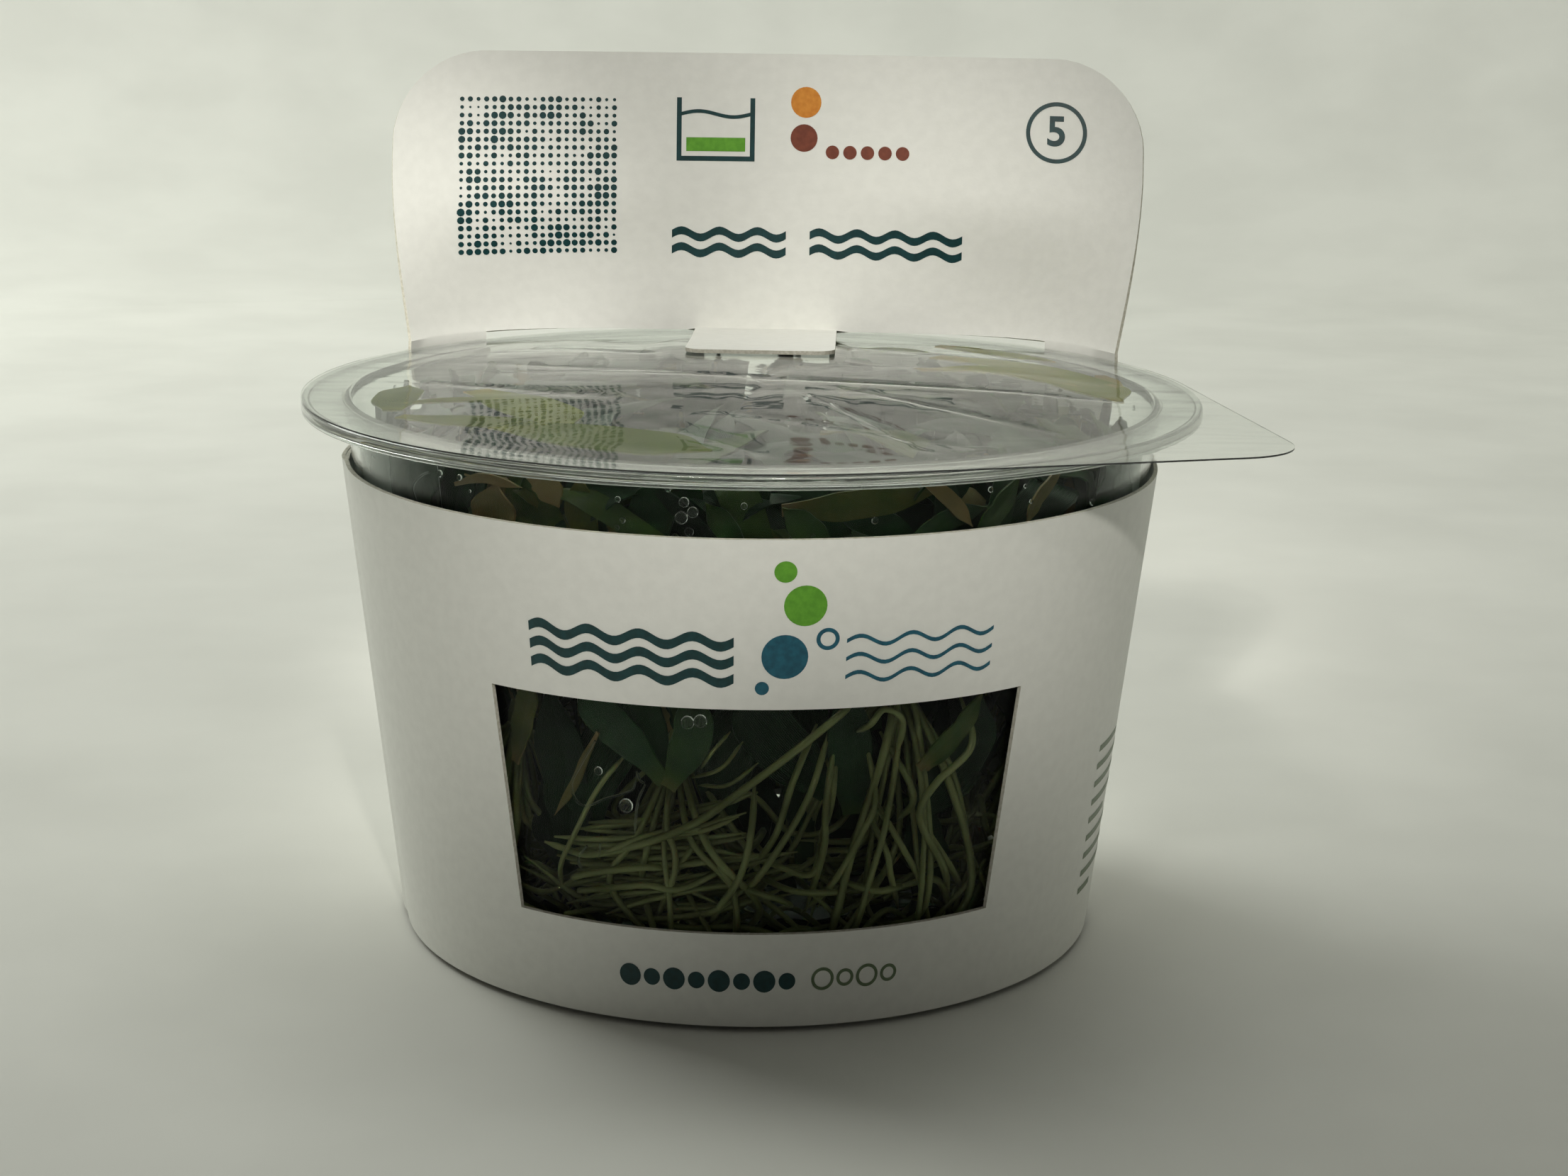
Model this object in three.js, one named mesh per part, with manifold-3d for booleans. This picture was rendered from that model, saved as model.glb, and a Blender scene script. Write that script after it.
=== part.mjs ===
// A lidded clear cup of young water plants, in a printed card sleeve with a header card standing up behind.
// Units are millimetres, +Z is up, and the origin is the middle of the cup's flat base.
// The viewer stands at -Y: the sleeve's window faces -Y, and the header stands at +Y.
import * as THREE from "three";
import { mergeVertices } from "three/addons/utils/BufferGeometryUtils.js";
import Module from "manifold-3d";

const wasm = await Module();
wasm.setup();

// Cup: thin clear plastic, a cone that widens upwards, with a rolled flange
const CUP_BASE_RADIUS = 38.6;
const TAPER = 0.1121; // radius gained for each millimetre of height
const CUP_WALL = 0.8;
const CUP_FLOOR = 1.0;
const BASE_ROUND = 1.2;
const FLANGE_RADIUS = 50;
const FLANGE_TOP = 60.5;
const FLANGE_THICK = 1.1;
const LIP_DEPTH = 1.45;
const LIP_WIDTH = 0.9;
const CUP_SEGMENTS = 48;

// Lid: a clear film welded to the flange, blown up a little, with a pull tab at one side
const FILM_THICK = 0.2;
const FILM_RISE = 1.5; // how far its middle stands above the flange
const FILM_LEAN = 0.35; // the front half is fuller than the back half by this share
const FILM_RINGS = [14, 28, 38];
const FILM_SEGMENTS = 40;
const TAB_AZIMUTH = 57; // degrees from the front towards +X
const TAB_REACH = 64;
const TAB_TIP_RADIUS = 8;

// Card: one die-cut piece of board that wraps the cup and stands up as the header
const CARD_THICK = 0.45;
const CARD_GAP = 0.35; // between the cup's wall and the card
const CARD_BOTTOM = 0.6;
const WRAP_TOP = 53.34;
const WINDOW_TURN = 1.3; // degrees that the window is turned from the front towards +X
const HEADER_TURN = 2.2; // degrees that the header is turned from the back towards +X
const WINDOW_LOW = 11.1;
const WINDOW_HIGH = 35.7;
const WINDOW_LOW_HALF = 36.8; // degrees each side of its middle
const WINDOW_HIGH_HALF = 38.6;
const HEADER_TOP = 95.9;
const HEADER_CORNER = 11;
const HEADER_HALF = 46.1; // half its greatest width, at HEADER_WIDEST
const HEADER_WIDEST = 82;
const HEADER_FOOT_HALF = 43; // half its width where it stands at the flange
const HEADER_FOOT = 61.45;
const HEADER_MIDDLE_Y = 41.7;
const HEADER_LEAN = 2.5; // how far its top stands behind its foot
const EDGE_FORWARD_FOOT = 15; // how far its side edges stand in front of its middle
const EDGE_FORWARD_TOP = 6;
const SLIT_LOW = 58.6; // the flange's back goes through a slit between here and the foot
const SLIT_HALF = 44; // degrees
const HEADER_EDGE = 58.4; // degrees from its middle to its side edge
const BRIDGE_RADIUS = 50.6; // the card's middle surface where it passes outside the flange
const FLARE_LOW = 45; // height where the card begins to leave the cup for that
const TONGUE_HALF_ANGLE = 10.2; // degrees, for the tongue and the notch that it was cut from
const NOTCH_LOW = 38;
const TONGUE_LENGTH = 23.5;
const TONGUE_CORNER = 2.5;
const TONGUE_LIFT = 0.15; // clearance above the film

// Plants: rosettes of narrow blades with bare roots, each in its own share of the cup
const PLANTLETS = 9;
const FIRST_AZIMUTH = -12; // degrees from the front towards +X
const CROWN_RADIUS = 1.7;
const CROWN_LENGTH = 8;
const BLADES = 5;
const ROOTS = 3;
const WINDING_ROOTS = 2; // those that wind nearly level through the lower cup
const BLADE_STEPS = 5;
const ROOT_STEPS = 6;
const BLADE_THICK = 0.45;
const PLANT_EVENNESS = 0.06; // the largest change that evening out makes
const ROOT_RADIUS = 0.45;
const CELL_CLEAR = 0.25; // from each plantlet to the edge of its own share
const WALL_CLEAR = 0.5;

// Finishes
const material = (color, roughness, opacity = 1) =>
  new THREE.MeshStandardMaterial({ color, roughness, metalness: 0, opacity, transparent: opacity < 1 });
const CLEAR_CUP = material(0xdfe5e4, 0.18, 0.35);
const CLEAR_FILM = material(0xe9efee, 0.1, 0.3);
const WHITE_CARD = material(0xe4e4e0, 0.6);
const PLANT_GREENS = [0x3d5026, 0x46582b, 0x35481f, 0x4f5a2e];

const radians = THREE.MathUtils.degToRad;
const smooth = THREE.MathUtils.smoothstep;
const clamp = THREE.MathUtils.clamp;
const lerp = THREE.MathUtils.lerp;

const cupOuter = (z) => CUP_BASE_RADIUS + TAPER * z;
const cupInner = (z) => cupOuter(z) - CUP_WALL;
const cardMiddle = (z) => cupOuter(z) + CARD_GAP + CARD_THICK / 2;

// Manifold solids and three.js geometries

function solidOf(geometry) {
  const bare = geometry.clone();
  bare.deleteAttribute("normal");
  bare.deleteAttribute("uv");
  const merged = mergeVertices(bare, 1e-4);
  return new wasm.Manifold(
    new wasm.Mesh({
      numProp: 3,
      vertProperties: new Float32Array(merged.attributes.position.array),
      triVerts: new Uint32Array(merged.index.array),
    }),
  );
}

function geometryOf(solid) {
  const mesh = solid.getMesh();
  const geometry = new THREE.BufferGeometry();
  const positions = new THREE.BufferAttribute(mesh.vertProperties, 3);
  geometry.setAttribute("position", positions);
  geometry.setIndex(new THREE.BufferAttribute(mesh.triVerts, 1));
  geometry.computeVertexNormals();
  return geometry;
}

function geometryFrom(points, triangles) {
  const geometry = new THREE.BufferGeometry().setFromPoints(points);
  geometry.setIndex(triangles);
  return geometry;
}

// A closed body through rings of points, each ring turning the same way, with flat ends
function loft(rings) {
  const points = rings.flat();
  const sides = rings[0].length;
  const triangles = [];
  for (let ring = 0; ring + 1 < rings.length; ring++) {
    for (let side = 0; side < sides; side++) {
      const next = (side + 1) % sides;
      const a = ring * sides + side;
      const b = ring * sides + next;
      triangles.push(a, b, b + sides, a, b + sides, a + sides);
    }
  }
  const last = (rings.length - 1) * sides;
  for (let side = 1; side + 1 < sides; side++) {
    triangles.push(0, side + 1, side, last, last + side, last + side + 1);
  }
  return geometryFrom(points, triangles);
}

// The cup: a profile turned round its axis, outside first and back down the inside

function cupGeometry() {
  const neck = FLANGE_TOP - FLANGE_THICK;
  const lipLow = FLANGE_TOP - LIP_DEPTH;
  const profile = [
    [0, 0],
    [CUP_BASE_RADIUS - BASE_ROUND, 0],
    [CUP_BASE_RADIUS - BASE_ROUND * 0.3, BASE_ROUND * 0.35],
    [cupOuter(BASE_ROUND), BASE_ROUND],
    [cupOuter(neck), neck],
    [FLANGE_RADIUS - LIP_WIDTH, neck],
    [FLANGE_RADIUS - LIP_WIDTH, lipLow],
    [FLANGE_RADIUS, lipLow + 0.2],
    [FLANGE_RADIUS, FLANGE_TOP],
    [cupInner(FLANGE_TOP), FLANGE_TOP],
    [cupInner(CUP_FLOOR + BASE_ROUND), CUP_FLOOR + BASE_ROUND],
    [cupInner(CUP_FLOOR) - BASE_ROUND, CUP_FLOOR],
    [0, CUP_FLOOR],
  ];
  const turned = new THREE.LatheGeometry(
    profile.map(([radius, height]) => new THREE.Vector2(radius, height)),
    CUP_SEGMENTS,
  );
  return geometryOf(solidOf(turned.rotateX(Math.PI / 2)));
}

// The film lid: a shallow dome that lies flat on the flange, and its pull tab

function filmRise(x, y) {
  const share = 1 - (x * x + y * y) / cupInner(FLANGE_TOP) ** 2;
  return share > 0 ? FILM_RISE * share * (1 - FILM_LEAN * (y / FLANGE_RADIUS)) : 0;
}

const filmUnder = (x, y) => FLANGE_TOP + filmRise(x, y);

function filmDisc() {
  const radii = [...FILM_RINGS, cupInner(FLANGE_TOP), FLANGE_RADIUS];
  const points = [];
  for (const lift of [0, FILM_THICK]) {
    points.push(new THREE.Vector3(0, 0, filmUnder(0, 0) + lift));
    for (const radius of radii) {
      for (let i = 0; i < FILM_SEGMENTS; i++) {
        const angle = (2 * Math.PI * i) / FILM_SEGMENTS;
        const x = radius * Math.cos(angle);
        const y = radius * Math.sin(angle);
        points.push(new THREE.Vector3(x, y, filmUnder(x, y) + lift));
      }
    }
  }
  const side = points.length / 2;
  const at = (ring, i) => 1 + ring * FILM_SEGMENTS + (i % FILM_SEGMENTS);
  const triangles = [];
  const bothSides = (a, b, c) => triangles.push(side + a, side + b, side + c, a, c, b);
  for (let i = 0; i < FILM_SEGMENTS; i++) {
    bothSides(0, at(0, i), at(0, i + 1));
    for (let ring = 0; ring + 1 < radii.length; ring++) {
      bothSides(at(ring, i), at(ring + 1, i), at(ring + 1, i + 1));
      bothSides(at(ring, i), at(ring + 1, i + 1), at(ring, i + 1));
    }
    const a = at(radii.length - 1, i);
    const b = at(radii.length - 1, i + 1);
    triangles.push(a, b, side + b, a, side + b, side + a);
  }
  return geometryFrom(points, triangles);
}

function pullTab() {
  const root = FLANGE_RADIUS - 2;
  const tipCentre = TAB_REACH - TAB_TIP_RADIUS;
  const spread = Math.acos((FLANGE_RADIUS - TAB_TIP_RADIUS) / tipCentre);
  const outline = new THREE.Shape();
  outline.moveTo(root * Math.cos(spread), -root * Math.sin(spread));
  outline.lineTo(FLANGE_RADIUS * Math.cos(spread), -FLANGE_RADIUS * Math.sin(spread));
  outline.absarc(tipCentre, 0, TAB_TIP_RADIUS, -spread, spread, false);
  outline.lineTo(FLANGE_RADIUS * Math.cos(spread), FLANGE_RADIUS * Math.sin(spread));
  outline.lineTo(root * Math.cos(spread), root * Math.sin(spread));
  outline.lineTo(root, 0);
  const tab = new THREE.ExtrudeGeometry(outline, {
    depth: FILM_THICK,
    bevelEnabled: false,
    curveSegments: 10,
  });
  return tab.translate(0, 0, FLANGE_TOP).rotateZ(radians(TAB_AZIMUTH - 90));
}

// The card: its middle surface as a function of the angle round the cup and the height

function headerHalfWidth(z) {
  const below = clamp((HEADER_WIDEST - z) / (HEADER_WIDEST - HEADER_FOOT), 0, 1);
  return HEADER_HALF - (HEADER_HALF - HEADER_FOOT_HALF) * below ** 1.6;
}

function headerY(x, z) {
  const up = clamp((z - HEADER_FOOT) / (HEADER_TOP - HEADER_FOOT), 0, 1);
  const power = 2 + 3 * (1 - smooth(up, 0, 0.5));
  const forward = lerp(EDGE_FORWARD_FOOT, EDGE_FORWARD_TOP, up ** 0.7);
  const share = Math.abs(x) / headerHalfWidth(z);
  return HEADER_MIDDLE_Y + HEADER_LEAN * up - forward * share ** power;
}

function headerPoint(angle, z) {
  const x = (headerHalfWidth(z) / Math.sin(radians(HEADER_EDGE))) * Math.sin(radians(angle));
  return new THREE.Vector3(x, headerY(x, z), z);
}

function wrapPoint(angle, z) {
  const away = Math.abs(angle);
  const beside = smooth(away, 28, SLIT_HALF) * (1 - smooth(away, HEADER_EDGE + 3, HEADER_EDGE + 26));
  const flare = (BRIDGE_RADIUS - cardMiddle(SLIT_LOW)) * smooth(z, FLARE_LOW, SLIT_LOW) * beside;
  const radius = cardMiddle(z) + flare;
  return new THREE.Vector3(radius * Math.sin(radians(angle)), radius * Math.cos(radians(angle)), z);
}

function cardPoint(angle, z) {
  if (z <= SLIT_LOW) return wrapPoint(angle, z);
  if (z >= HEADER_FOOT) return headerPoint(angle, z);
  const up = (z - SLIT_LOW) / (HEADER_FOOT - SLIT_LOW);
  return wrapPoint(angle, SLIT_LOW).lerp(headerPoint(angle, HEADER_FOOT), up).setZ(z);
}

const STEP = 0.01;

// The board's two faces at an angle and a height: outside first, then inside
function cardFaces(angle, z) {
  const rise = z <= SLIT_LOW || z >= HEADER_TOP ? -STEP : STEP;
  const here = cardPoint(angle, z);
  const up = cardPoint(angle, z + rise).sub(here).divideScalar(rise);
  const along = cardPoint(angle + STEP, z).sub(cardPoint(angle - STEP, z));
  const normal = up.cross(along).normalize().multiplyScalar(CARD_THICK / 2);
  return [here.clone().add(normal), here.clone().sub(normal)];
}

function evenly(from, to, count) {
  return Array.from({ length: count }, (_, i) => lerp(from, to, i / count));
}

function cardAngles() {
  const half = [
    ...evenly(0, TONGUE_HALF_ANGLE, 1),
    ...evenly(TONGUE_HALF_ANGLE, SLIT_HALF, 5),
    ...evenly(SLIT_HALF, HEADER_EDGE, 3),
    ...evenly(HEADER_EDGE, 180, 15),
  ];
  return [...half, 180, ...half.slice(1).reverse().map((angle) => 360 - angle)];
}

// The board, cell by cell: a cell is there, or is part of the notch, the slit or the outside
function cardBlank() {
  const angles = cardAngles();
  const heights = [
    CARD_BOTTOM,
    NOTCH_LOW,
    FLARE_LOW,
    49.5,
    WRAP_TOP,
    SLIT_LOW,
    HEADER_FOOT,
    ...evenly(64.5, HEADER_TOP, 6),
    HEADER_TOP,
  ];
  const columns = angles.length;
  const rows = heights.length - 1;
  const middleOf = (column) => {
    const next = column + 1 < columns ? angles[column + 1] : 360;
    const middle = (angles[column] + next) / 2;
    return Math.min(middle, 360 - middle);
  };
  const isThere = (column, row) => {
    if (row < 0 || row >= rows) return false;
    const away = middleOf((column + columns) % columns);
    const height = (heights[row] + heights[row + 1]) / 2;
    if (height > WRAP_TOP && away > HEADER_EDGE) return false;
    if (height > SLIT_LOW && height < HEADER_FOOT && away < SLIT_HALF) return false;
    return !(height > NOTCH_LOW && height < SLIT_LOW && away < TONGUE_HALF_ANGLE);
  };
  const points = [];
  for (const height of heights) {
    for (const angle of angles) {
      points.push(...cardFaces(angle > 180 ? angle - 360 : angle, height));
    }
  }
  const outside = (column, row) => 2 * (row * columns + ((column + columns) % columns));
  const triangles = [];
  const quad = (a, b, c, d) => triangles.push(a, b, c, a, c, d);
  for (let column = 0; column < columns; column++) {
    for (let row = 0; row < rows; row++) {
      if (!isThere(column, row)) continue;
      const a = outside(column, row);
      const b = outside(column + 1, row);
      const c = outside(column + 1, row + 1);
      const d = outside(column, row + 1);
      quad(a, d, c, b);
      quad(a + 1, b + 1, c + 1, d + 1);
      if (!isThere(column, row - 1)) quad(a, b, b + 1, a + 1);
      if (!isThere(column, row + 1)) quad(c, d, d + 1, c + 1);
      if (!isThere(column - 1, row)) quad(d, a, a + 1, d + 1);
      if (!isThere(column + 1, row)) quad(b, c, c + 1, b + 1);
    }
  }
  // Points that belong to no cell are left out when the vertices are merged
  return geometryFrom(points, triangles).toNonIndexed();
}

// The space outside the header's rounded top corners, seen from the front
function headerCornerCutter(side) {
  const cornerX = side * (HEADER_HALF - HEADER_CORNER);
  const cornerZ = HEADER_TOP - HEADER_CORNER;
  const outline = new THREE.Shape();
  outline.moveTo(cornerX, HEADER_TOP + 5);
  outline.lineTo(cornerX, HEADER_TOP);
  const start = Math.PI / 2;
  const end = side > 0 ? 0 : Math.PI;
  outline.absarc(cornerX, cornerZ, HEADER_CORNER, start, end, side > 0);
  outline.lineTo(side * (HEADER_HALF + 5), cornerZ);
  outline.lineTo(side * (HEADER_HALF + 5), HEADER_TOP + 5);
  const depth = HEADER_MIDDLE_Y + HEADER_LEAN + 10;
  const prism = new THREE.ExtrudeGeometry(outline, { depth, bevelEnabled: false, curveSegments: 8 });
  return prism.rotateX(Math.PI / 2).translate(0, depth, 0);
}

// The window's cutter: a prism seen from the front as the window's outline
function windowCutter() {
  const edge = (half, z) => cardMiddle(z) * Math.sin(radians(half));
  const outline = new THREE.Shape([
    new THREE.Vector2(-edge(WINDOW_LOW_HALF, WINDOW_LOW), WINDOW_LOW),
    new THREE.Vector2(edge(WINDOW_LOW_HALF, WINDOW_LOW), WINDOW_LOW),
    new THREE.Vector2(edge(WINDOW_HIGH_HALF, WINDOW_HIGH), WINDOW_HIGH),
    new THREE.Vector2(-edge(WINDOW_HIGH_HALF, WINDOW_HIGH), WINDOW_HIGH),
  ]);
  const prism = new THREE.ExtrudeGeometry(outline, { depth: FLANGE_RADIUS - 20, bevelEnabled: false });
  return prism.rotateX(Math.PI / 2).translate(0, -20, 0).rotateZ(radians(WINDOW_TURN));
}

// The tongue lies forwards on the film from the header's foot
function tongue() {
  const half = (HEADER_FOOT_HALF / Math.sin(radians(HEADER_EDGE))) * Math.sin(radians(TONGUE_HALF_ANGLE));
  const steps = [0.5, -4, -10, -16, TONGUE_CORNER - TONGUE_LENGTH];
  const tips = [0.3, 0.7, 1].map((share) => {
    const angle = (share * Math.PI) / 2;
    return [
      TONGUE_CORNER - TONGUE_LENGTH - TONGUE_CORNER * Math.sin(angle),
      half - TONGUE_CORNER * (1 - Math.cos(angle)),
    ];
  });
  const stations = [...steps.map((step) => [step, half]), ...tips];
  const rings = stations.map(([forward, width]) => {
    const y = HEADER_MIDDLE_Y + forward;
    const low = Math.max(filmUnder(0, y) + FILM_THICK + TONGUE_LIFT, HEADER_FOOT - 0.05);
    return [
      new THREE.Vector3(-width, y, low),
      new THREE.Vector3(width, y, low),
      new THREE.Vector3(width, y, low + CARD_THICK),
      new THREE.Vector3(-width, y, low + CARD_THICK),
    ];
  });
  return loft(rings);
}

function cardSolid() {
  const corners = [-1, 1].map((side) => solidOf(headerCornerCutter(side)));
  return solidOf(cardBlank()).subtract(corners[0]).subtract(corners[1]).add(solidOf(tongue()));
}

// Plants

let seed = 25;
function random(low = 0, high = 1) {
  seed = (seed * 16807) % 2147483647;
  return lerp(low, high, seed / 2147483647);
}

// A point in a plantlet's own share of the cup, with room for a half width
function inCell(azimuth, point, halfWidth) {
  const height = clamp(point.z, CUP_FLOOR + WALL_CLEAR + halfWidth, 100);
  const radius = clamp(point.r, 7.5, cupInner(height) - WALL_CLEAR - BLADE_THICK);
  const share = 180 / PLANTLETS;
  const room = share - THREE.MathUtils.radToDeg(Math.asin((halfWidth + CELL_CLEAR) / radius));
  const angle = radians(azimuth + clamp(point.a, -room, room));
  const x = radius * Math.sin(angle);
  const y = -radius * Math.cos(angle);
  return new THREE.Vector3(x, y, Math.min(height, filmUnder(x, y) - WALL_CLEAR - BLADE_THICK / 2));
}

// A smooth path through control points given as radius, angle from the cell's middle, and height
function pathIn(azimuth, controls, steps, halfWidth) {
  const curve = new THREE.CatmullRomCurve3(controls.map(([r, a, z]) => new THREE.Vector3(r, a, z)));
  return Array.from({ length: steps + 1 }, (_, i) => {
    const at = curve.getPoint(i / steps);
    return inCell(azimuth, { r: at.x, a: at.y, z: at.z }, halfWidth);
  });
}

function directionAt(path, i) {
  return path[Math.min(i + 1, path.length - 1)].clone().sub(path[Math.max(i - 1, 0)]).normalize();
}

function blade(path, halfWidth, azimuth) {
  const aside = new THREE.Vector3(Math.cos(radians(azimuth)), Math.sin(radians(azimuth)), 0);
  const rings = path.map((point, i) => {
    const along = directionAt(path, i);
    const flat = aside.clone().addScaledVector(along, -aside.dot(along)).normalize();
    const face = along.clone().cross(flat);
    const share = i / (path.length - 1);
    const width = halfWidth * (share < 0.75 ? 0.45 + 0.55 * smooth(share, 0, 0.5) : 4 * (1.04 - share));
    return [
      point.clone().addScaledVector(flat, width),
      point.clone().addScaledVector(face, BLADE_THICK / 2),
      point.clone().addScaledVector(flat, -width),
      point.clone().addScaledVector(face, -BLADE_THICK / 2),
    ];
  });
  return loft(rings);
}

// A three-sided rod whose sides are carried along the path, so that it isn't twisted
function root(path) {
  const first = new THREE.Vector3(1, 0.4, 0.2);
  const rings = path.map((point, i) => {
    const along = directionAt(path, i);
    first.addScaledVector(along, -first.dot(along)).normalize();
    const second = along.clone().cross(first);
    const radius = ROOT_RADIUS * (i + 1 < path.length ? 1 : 0.3);
    return [0, 1, 2].map((corner) => {
      const angle = (2 * Math.PI * corner) / 3;
      const out = first.clone().multiplyScalar(Math.cos(angle)).addScaledVector(second, Math.sin(angle));
      return point.clone().addScaledVector(out, radius);
    });
  });
  return loft(rings);
}

function crown(centre) {
  const shape = [
    [0.35, -0.5],
    [1, -0.15],
    [0.8, 0.2],
    [0.35, 0.5],
  ];
  const rings = shape.map(([wide, up]) =>
    Array.from({ length: 6 }, (_, i) => {
      const angle = (Math.PI * i) / 3;
      const radius = wide * CROWN_RADIUS;
      return new THREE.Vector3(radius * Math.cos(angle), radius * Math.sin(angle), up * CROWN_LENGTH).add(centre);
    }),
  );
  return loft(rings);
}

function plantlet(index) {
  const azimuth = FIRST_AZIMUTH + (index * 360) / PLANTLETS;
  const crownR = random(31, 35);
  const crownA = random(-4, 4);
  const crownZ = index % 2 ? random(33, 37) : random(25, 29);
  const centre = inCell(azimuth, { r: crownR, a: crownA, z: crownZ }, CROWN_RADIUS);
  let solid = solidOf(crown(centre));
  for (let i = 0; i < BLADES; i++) {
    const halfWidth = random(1.4, 2.1);
    const aside = lerp(-14, 14, (i + 0.5) / BLADES) + random(-3, 3);
    const overhead = i % 2 === 1;
    const path = overhead
      ? [[32, aside * 0.5, 50], [27, aside, 60], [random(9, 18), aside * 1.2, 62]]
      : [[39, aside * 0.7, 46], [41, aside, 55], [random(37, 42), aside * 1.3, random(58, 62)]];
    const controls = [[crownR, crownA, crownZ], [lerp(crownR, 37, 0.5), aside * 0.3, crownZ + 8], ...path];
    solid = solid.add(solidOf(blade(pathIn(azimuth, controls, BLADE_STEPS, halfWidth), halfWidth, azimuth)));
  }
  for (let i = 0; i < ROOTS; i++) {
    const aside = lerp(-15, 15, (i + 0.5) / ROOTS);
    const controls = [
      [crownR, crownA, crownZ],
      [38, lerp(crownA, aside, 0.4), crownZ - 8],
      [random(37, 40), aside, random(11, 15)],
      [random(33, 38), aside * random(-0.4, 1.2), random(4, 8)],
      [random(20, 32), random(-12, 12), 2],
    ];
    solid = solid.add(solidOf(root(pathIn(azimuth, controls, ROOT_STEPS, ROOT_RADIUS))));
  }
  for (let i = 0; i < WINDING_ROOTS; i++) {
    const side = i % 2 ? 1 : -1;
    const controls = [
      [crownR, crownA, crownZ],
      [random(30, 34), side * random(5, 11), crownZ - 10],
      [random(25, 31), side * random(11, 17), random(11, 17)],
      [random(23, 28), side * random(-6, 6), random(8, 14)],
      [random(24, 32), -side * random(11, 17), random(4, 10)],
    ];
    solid = solid.add(solidOf(root(pathIn(azimuth, controls, ROOT_STEPS, ROOT_RADIUS))));
  }
  // Slivers where blades cross are evened out, and a tiny pocket that they shut in comes off
  const bodies = solid.asOriginal().simplify(PLANT_EVENNESS).decompose();
  return bodies.reduce((outer, body) => (body.volume() > outer.volume() ? body : outer));
}

// The assembly

const part = new THREE.Group();
part.name = "lidded_cup_of_water_plants";

function addPiece(name, geometry, finish) {
  const mesh = new THREE.Mesh(geometry, finish);
  mesh.name = name;
  part.add(mesh);
}

addPiece("cup", cupGeometry(), CLEAR_CUP);
addPiece("film_lid", geometryOf(solidOf(filmDisc()).add(solidOf(pullTab()))), CLEAR_FILM);

const cardInPlace = solidOf(geometryOf(cardSolid()).rotateZ(radians(-HEADER_TURN)));
addPiece("card_sleeve", geometryOf(cardInPlace.subtract(solidOf(windowCutter()))), WHITE_CARD);

for (let i = 0; i < PLANTLETS; i++) {
  const green = material(PLANT_GREENS[i % PLANT_GREENS.length], 0.5);
  addPiece("plantlet_" + (i + 1), geometryOf(plantlet(i)), green);
}

export default part;
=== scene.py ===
import math
from random import Random

import bmesh
import bpy
from mathutils import Matrix, Vector, noise
from mathutils.bvhtree import BVHTree


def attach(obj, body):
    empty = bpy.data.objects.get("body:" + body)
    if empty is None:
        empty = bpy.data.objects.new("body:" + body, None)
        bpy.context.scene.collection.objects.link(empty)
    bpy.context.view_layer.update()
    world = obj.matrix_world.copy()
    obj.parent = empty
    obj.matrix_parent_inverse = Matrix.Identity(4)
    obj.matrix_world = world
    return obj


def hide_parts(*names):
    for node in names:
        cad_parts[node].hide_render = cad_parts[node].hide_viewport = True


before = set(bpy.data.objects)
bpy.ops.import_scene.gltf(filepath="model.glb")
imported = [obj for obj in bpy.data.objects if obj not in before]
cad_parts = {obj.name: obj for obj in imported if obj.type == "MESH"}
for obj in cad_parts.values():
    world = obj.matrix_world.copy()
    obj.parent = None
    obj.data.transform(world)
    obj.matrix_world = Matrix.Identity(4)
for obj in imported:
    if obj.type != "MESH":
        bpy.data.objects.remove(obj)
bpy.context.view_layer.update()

# Lengths are metres, with MM for sizes that are known in millimetres, and angles are degrees.
# +Z is up, the viewer stands at -Y, and the origin is the middle of the cup's flat base.
MM = 0.001

# Camera, as fitted to the cup's circles in the photograph
CAMERA_PLACE = Vector((0, -302.94 * MM, 109.88 * MM))
CAMERA_YAW = 0.0125
CAMERA_PITCH = 0.2336
CAMERA_ROLL = -0.0141
CAMERA_LENS = 62.62

# Cup
CUP_BASE_RADIUS = 38.6 * MM
TAPER = 0.1121
CUP_WALL = 0.8 * MM
CUP_FLOOR = 1.0 * MM
FLANGE_RADIUS = 50 * MM
FLANGE_TOP = 60.5 * MM
FLANGE_THICK = 1.1 * MM
LIP_DEPTH = 1.45 * MM
LIP_WIDTH = 0.9 * MM
CUP_STEPS = 160
CORNER_STEPS = 5

# Film lid
FILM_THICK = 0.2 * MM
FILM_GAP = 0.02 * MM
FILM_RISE = 1.5 * MM
FILM_LEAN = 0.35
FILM_STEPS = 360
FILM_RINGS = 30
TAB_AZIMUTH = 57
TAB_REACH = 64 * MM
TAB_TIP_RADIUS = 8 * MM
FILM_TIGHT = 6 * MM  # how far from the flange the film is tight
PRESSED_X = (9 * MM, 14 * MM)  # the tongue presses the film smooth, which fades between these
PRESSED_Y = (10 * MM, 17 * MM)
FILM_WAVES = 0.4 * MM
FILM_RIPPLES = 0.04 * MM
FILM_CREASES = 14
# The longest creases, from one end to the other in millimetres
LONG_CREASES = [
    ((-11.6, 4.6), (40.9, -5.7)),
    ((-10.4, -25.7), (1.5, -40.3)),
    ((8.3, -15.6), (17.8, -37.1)),
    ((12.4, -7.7), (29.7, -24.8)),
    ((-38, 2), (-12, -14)),
]

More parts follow.
